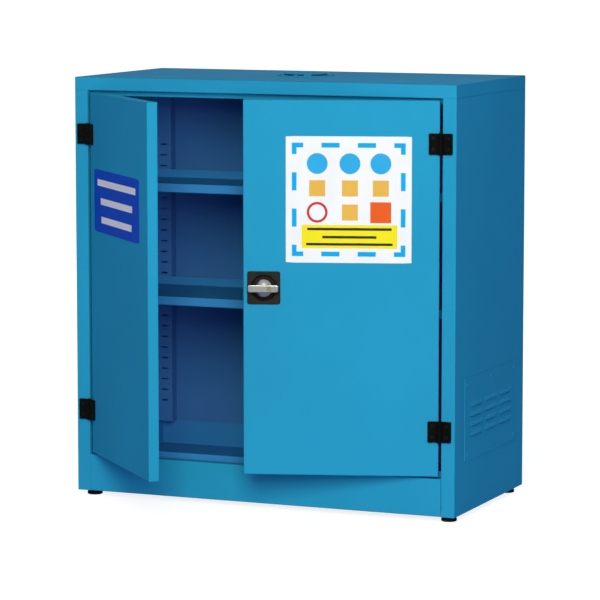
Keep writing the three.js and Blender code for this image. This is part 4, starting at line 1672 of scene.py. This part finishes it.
@dataclass
class Foot:
    """A levelling foot, from the pad that stands on the floor to its stem.

    The curve and the stem are (inset, height) and (radius, height) points.
    """

    pad_radius: float = 0.019
    pad_height: float = 0.008
    pad_face_inset: float = 0.0022
    pad_curve: tuple[Pair, ...] = ((0.0006, 0.0008), (0.0, 0.0022))
    notches: int = 12
    notch_depth: float = 0.0005
    notch_sharpness: int = 4
    stem: tuple[Point, ...] = (
        (0.0102, 0.0080),
        (0.0090, 0.0092),
        (0.0090, 0.0141),
        (0.0084, 0.0147),
        (0.0040, 0.0147),
        (0.0040, 0.0345),
        (0.0035, 0.0350),
    )
    edge_angle: float = 28.0
    count: int = 72

    def build(self) -> None:
        """Builds the four feet."""
        for end in ("front", "rear"):
            for word in ("left", "right"):
                node = f"foot_{end}_{word}"
                low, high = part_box(node)
                middle = shift((low.x + high.x) / 2, (low.y + high.y) / 2)
                foot = self._shell().piece(node + "_moulding", middle)
                smoothed(foot, self.edge_angle)
                finished(foot, RUBBER, f"{end}_{word}_foot", [node])

    def _pad(self, inset: float) -> Outline:
        """The pad's outline at an inset, with its shallow grip notches.

        Args:
            inset: how far the outline lies inside the pad's edge.

        Returns:
            The outline.
        """

        def radius(angle: float) -> float:
            """How far the pad reaches at an angle."""
            notch = max(0.0, math.cos(angle * self.notches)) ** self.notch_sharpness
            return self.pad_radius - inset - self.notch_depth * notch

        return radius

    def _shell(self) -> Shell:
        """The foot's shell, from the floor up.

        Returns:
            The shell.
        """
        face, top = self.pad_radius - self.pad_face_inset, self.pad_height
        steps = [(face, 0.0)]
        steps += [(self._pad(inset), up) for inset, up in self.pad_curve]
        steps += [(self._pad(inset), top - up) for inset, up in reversed(self.pad_curve)]
        steps += [(face, top), *self.stem]
        return profile_shell(steps, self.count)


@dataclass(kw_only=True)
class Board:
    """A flat board on a door's outer face, with plain shapes printed on it.

    Its own axes have X to the right and Y up as seen from in front, and Z out of the face.
    """

    door: DoorPlace
    name: str
    centre: Point
    width: float
    height: float
    base: Finish
    thickness: float = 0.0007
    ink: float = 0.00012
    corner: float = 0.0015
    edge: float = 0.0002
    outline_count: int = 96

    def place(self) -> Matrix:
        """From the board's own axes to the frame's."""
        along, up = self.centre
        return self.door.matrix() @ shift(along, 0.0, up) @ spun(90, "X")

    def build_base(self) -> None:
        """Makes the bare board."""
        outline = rounded_box(self.width / 2, self.height / 2, self.corner)
        shell = plate_shell(outline, 0.0, self.thickness, self.outline_count)
        board = shell.piece(self.name)
        eased(board, self.edge, BOARD_ANGLE)
        finished(placed(board, self.place()), self.base, self.door.body)

    def print_shapes(
        self, name: str, outlines: Sequence[Sequence[Point]], finish: Finish, layer: int = 1
    ) -> None:
        """Prints flat shapes on the board.

        Args:
            name: the print's name.
            outlines: the shapes' corner points.
            finish: their film.
            layer: how many films thick they stand.
        """
        shell = Shell()
        for outline in outlines:
            shell.lofted(
                levels(outline, self.thickness - self.ink, self.thickness + self.ink * layer)
            )
        piece = shell.piece(f"{self.name}_{name}")
        finished(placed(piece, self.place()), finish, self.door.body)


@dataclass(kw_only=True)
class DoorBoard(Board):
    """The square board on the right door: a dashed border, plain shapes and a plain band."""

    heads: HeadTree
    name: str = "door_board"
    centre: Point = (-0.2168, 0.7725)
    width: float = 0.298
    height: float = 0.3
    base: Finish = WHITE_FILM
    border_half: float = 0.129
    stroke: float = 0.0112
    dash: float = 0.043
    shape_size: float = 0.0495
    tile_size: float = 0.038
    ring_stroke: float = 0.006
    shape_rows: Triple = (0.0855, 0.027, -0.030)
    columns: Triple = (-0.0745, 0.003, 0.076)
    band_centre: Point = (0.0018, -0.0876)
    band_size: Pair = (0.227, 0.0555)
    bars: tuple[Pair, ...] = ((0.0178, 0.200), (-0.0012, 0.128), (-0.0182, 0.205))
    bar_height: float = 0.006
    disc_count: int = 48
    ring_count: int = 64

    def build(self) -> None:
        """Builds the board and what is printed on it."""
        self.build_base()
        self._dashes()
        top, middle, low = self.shape_rows
        left, centre, right = self.columns
        self.print_shapes("discs", [self._disc(x, top) for x in self.columns], DISC_FILM)
        places = [(x, middle) for x in self.columns] + [(centre, low)]
        tiles = [rectangle(x, y, self.tile_size, self.tile_size) for x, y in places]
        self.print_shapes("tiles", tiles, AMBER_FILM)
        self._ring(left, low)
        square = rectangle(right, low, self.shape_size, self.shape_size)
        self.print_shapes("square", [square], ORANGE_FILM)
        band_x, band_y = self.band_centre
        self.print_shapes("band", [rectangle(band_x, band_y, *self.band_size)], YELLOW_FILM)
        bars = [rectangle(band_x, band_y + up, long, self.bar_height) for up, long in self.bars]
        self.print_shapes("bars", bars, INK_FILM, 2)

    def _disc(self, x: float, y: float) -> list[Point]:
        """A disc's outline round a middle.

        Args:
            x: the middle's place across.
            y: the middle's place up.

        Returns:
            The outline.
        """
        radius = self.shape_size / 2
        angles = (math.tau * step / self.disc_count for step in range(self.disc_count))
        return [(x + radius * math.cos(a), y + radius * math.sin(a)) for a in angles]

    def _ring(self, x: float, y: float) -> None:
        """Prints a plain ring.

        Args:
            x: the middle's place across.
            y: the middle's place up.
        """
        outer = self.shape_size / 2
        inner = outer - self.ring_stroke
        low, high = self.thickness - self.ink, self.thickness + self.ink
        profile = [(outer, low), (outer, high), (inner, high), (inner, low)]
        shell = profile_shell(profile, self.ring_count, True)
        piece = shell.piece(f"{self.name}_ring", shift(x, y))
        finished(placed(piece, self.place()), RED_FILM, self.door.body)

    def _dashes(self) -> None:
        """Sets the border's straight dashes and its corner angles."""
        place = self.place()
        out = place.to_3x3() @ Vector((0.0, 0.0, 1.0))
        half, leg, edge = self.border_half, self.dash / 2, self.stroke / 2
        apart = half / 3
        straight, corners = [], []
        for quarter in range(4):
            turn = quarter * math.pi / 2
            side = Matrix.Rotation(turn, 4, "Z")
            straight += [(side @ Vector((along, -half, 0.0)), turn) for along in (-apart, apart)]
            corners.append((side @ Vector((-half, -half, 0.0)), turn))
        bar = rectangle(0.0, 0.0, self.dash, self.stroke)
        angle = [(-edge, -edge), (leg, -edge), (leg, edge), (edge, edge), (edge, leg), (-edge, leg)]
        start = self._aligned_turn(out, place)
        lift = Vector((0.0, 0.0, self.thickness))
        for label, outline, spots in (("dashes", bar, straight), ("corners", angle, corners)):
            head = prism(outline, -self.ink, self.ink).piece(label)
            stations = [(place @ (spot + lift), out, start + turn) for spot, turn in spots]
            piece = self.heads.set_on(f"{self.name}_{label}", head, stations, CYAN_FILM)
            finished(piece, CYAN_FILM, self.door.body)

    @staticmethod
    def _aligned_turn(out: Vector, place: Matrix) -> float:
        """The turn about the board's normal that brings a head's X onto the board's X.

        Args:
            out: the board's normal.
            place: the board's matrix.

        Returns:
            The angle.
        """
        swing = Vector((0.0, 0.0, 1.0)).rotation_difference(out).to_matrix()
        start = swing @ Vector((1.0, 0.0, 0.0))
        wanted = (place.to_3x3() @ Vector((1.0, 0.0, 0.0))).normalized()
        return math.atan2(start.cross(wanted).dot(out), start.dot(wanted))


@dataclass(kw_only=True)
class PlainPlate(Board):
    """The royal-blue plate on the left door, with three plain stripes.

    A stripe is its middle's place, across and up, and its width.
    """

    name: str = "door_plate"
    centre: Point = (0.2135, 0.7465)
    width: float = 0.355
    height: float = 0.153
    base: Finish = ROYAL_FILM
    stripes: tuple[Triple, ...] = ((0.0, 0.045, 0.30), (0.0, 0.0, 0.25), (0.0, -0.045, 0.24))
    stripe_height: float = 0.016

    def build(self) -> None:
        """Builds the plate and its stripes."""
        self.build_base()
        bars = [rectangle(x, y, width, self.stripe_height) for x, y, width in self.stripes]
        self.print_shapes("stripes", bars, WHITE_FILM)


@dataclass(frozen=True)
class Lamp:
    """A square soft light that looks at the cabinet's middle."""

    name: str
    place: Triple
    size: float
    power: float
    tint: Colour
    mirrored: bool = False
    aim: Triple = (0.0, 0.0, 0.55)

    def hang(self) -> None:
        """Hangs the light."""
        data = bpy.data.lights.new(self.name, "AREA")
        data.shape = "SQUARE"
        data.size = self.size
        data.energy = self.power
        data.color = self.tint
        lamp = bpy.data.objects.new(self.name, data)
        lamp.location = self.place
        way = Vector(self.aim) - Vector(self.place)
        lamp.rotation_euler = way.to_track_quat("-Z", "Y").to_euler()
        lamp.visible_glossy = self.mirrored
        bpy.context.scene.collection.objects.link(lamp)


@dataclass
class Studio:
    """The floor, the lights and the camera."""

    low_sky: Colour = (0.95, 0.62, 1.78)
    high_sky: Colour = (0.27, 0.40, 0.40)
    sky_strength: float = 0.34
    sky_change: Pair = (0.15, 0.85)
    floor_size: float = 400.0
    floor_grey: float = 0.45
    glow_near: float = 0.84
    glow_reach: Pair = (1.0, 3.0)
    mirrored_glow: float = 0.25
    camera_place: Triple = (3.07167, -7.15364, 1.44398)
    camera_turn: Triple = (83.1262, 0.0, 22.7888)
    lens: float = 192.417
    sensor_width: float = 36.0
    camera_reach: float = 1000.0
    lamps: tuple[Lamp, ...] = (
        Lamp("key", (1.9, -5.0, 2.6), 2.2, 224.0, (0.92, 1.0, 0.76), mirrored=True),
        Lamp("fill", (3.0, -5.0, 0.9), 1.8, 60.0, (1.0, 0.82, 1.14)),
        Lamp("rear", (-3.4, 4.2, 3.4), 2.2, 85.0, (0.90, 0.96, 1.0)),
    )

    def build(self) -> None:
        """Builds the studio."""
        self._world()
        self._floor()
        for lamp in self.lamps:
            lamp.hang()
        self._camera()

    @staticmethod
    def _seen(maker: NodeMaker, mirrored: float = 1.0) -> Value:
        """How far a ray shows the background plainly.

        Args:
            maker: the tree.
            mirrored: the share for a ray that comes off a glossy surface.

        Returns:
            1 for a camera or transmission ray, the share for a glossy one, 0 for the rest.
        """
        path = maker.node("ShaderNodeLightPath").outputs
        total = Value(maker, path["Is Glossy Ray"]) * mirrored + path["Is Camera Ray"]
        return total + path["Is Transmission Ray"]

    def _world(self) -> None:
        """Makes a soft sky that is plain white where it is seen."""
        world = bpy.data.worlds.new("studio")
        bpy.context.scene.world = world
        maker = NodeMaker.cleared(world)
        way = maker.node("ShaderNodeTexCoord").outputs["Object"]
        rise = Value(maker, maker.node("ShaderNodeSeparateXYZ", sockets={0: way}).outputs["Z"])
        colour = maker.mixed(rise.between(*self.sky_change), self.low_sky, self.high_sky)
        soft = maker.node(
            "ShaderNodeBackground", sockets={"Color": colour, "Strength": self.sky_strength}
        )
        plain = maker.node("ShaderNodeBackground", sockets={"Color": (1, 1, 1, 1), "Strength": 1.0})
        both = maker.node(
            "ShaderNodeMixShader",
            sockets={0: self._seen(maker), 1: soft.outputs[0], 2: plain.outputs[0]},
        )
        maker.node("ShaderNodeOutputWorld", sockets={"Surface": both.outputs[0]})

    def _floor(self) -> None:
        """Makes a floor that is white where it is seen and keeps the cabinet's shadow."""
        mesh = bpy.data.meshes.new("floor")
        corners = rectangle(0.0, 0.0, self.floor_size, self.floor_size)
        mesh.from_pydata([(x, y, 0.0) for x, y in corners], [], [(0, 1, 2, 3)])
        floor = new_piece("floor", mesh)
        made = bpy.data.materials.new("floor_white")
        maker = NodeMaker.cleared(made)
        grey = (self.floor_grey, self.floor_grey, self.floor_grey, 1.0)
        matt = maker.node("ShaderNodeBsdfDiffuse", sockets={"Color": grey})
        glow = maker.node(
            "ShaderNodeEmission", sockets={"Color": self._glow(maker), "Strength": 1.0}
        )
        lifted = maker.node("ShaderNodeAddShader", sockets={0: matt.outputs[0], 1: glow.outputs[0]})
        seen = self._seen(maker, self.mirrored_glow)
        both = maker.node(
            "ShaderNodeMixShader", sockets={0: seen, 1: matt.outputs[0], 2: lifted.outputs[0]}
        )
        maker.node("ShaderNodeOutputMaterial", sockets={"Surface": both.outputs[0]})
        mesh.materials.append(made)

    def _glow(self, maker: NodeMaker) -> Socket:
        """A grey near the middle of the floor, white away from it.

        Args:
            maker: the floor's tree.

        Returns:
            The colour.
        """
        place = maker.node("ShaderNodeTexCoord").outputs["Object"]
        distance = maker.node("ShaderNodeVectorMath", {"operation": "LENGTH"}, {0: place})
        away = Value(maker, distance.outputs["Value"]).between(*self.glow_reach)
        near = (self.glow_near, self.glow_near, self.glow_near)
        return maker.mixed(away, near, (1.0, 1.0, 1.0))

    def _camera(self) -> None:
        """Sets the camera where the photograph was taken from."""
        data = bpy.data.cameras.new("camera")
        data.lens = self.lens
        data.sensor_width = self.sensor_width
        data.clip_end = self.camera_reach
        camera = bpy.data.objects.new("camera", data)
        camera.location = self.camera_place
        camera.rotation_euler = [math.radians(angle) for angle in self.camera_turn]
        bpy.context.scene.collection.objects.link(camera)
        bpy.context.scene.camera = camera


def main() -> None:
    """Builds the cabinet's looks and the studio."""
    logging.basicConfig(level=logging.INFO, format="%(name)s: %(message)s")
    bpy.context.scene.view_settings.view_transform = "Standard"
    heads = HeadTree("heads on points")
    left = DoorPlace("left_door_hinge", "left_door", -1)
    right = DoorPlace("right_door_hinge", "right_door", 1)
    Studio().build()
    HingeSet((left, right), heads).build()
    Lock(right).build()
    BoltWork(right, heads).build()
    for side in (-1, 1):
        VentCover(side, heads).build()
    RoofOutlet(heads).build()
    Foot().build()
    DoorBoard(door=right, heads=heads).build()
    PlainPlate(door=left).build()
    sheets = SheetMetal()
    sheets.open_seam()
    sheets.dress()


if __name__ == "__main__":
    main()
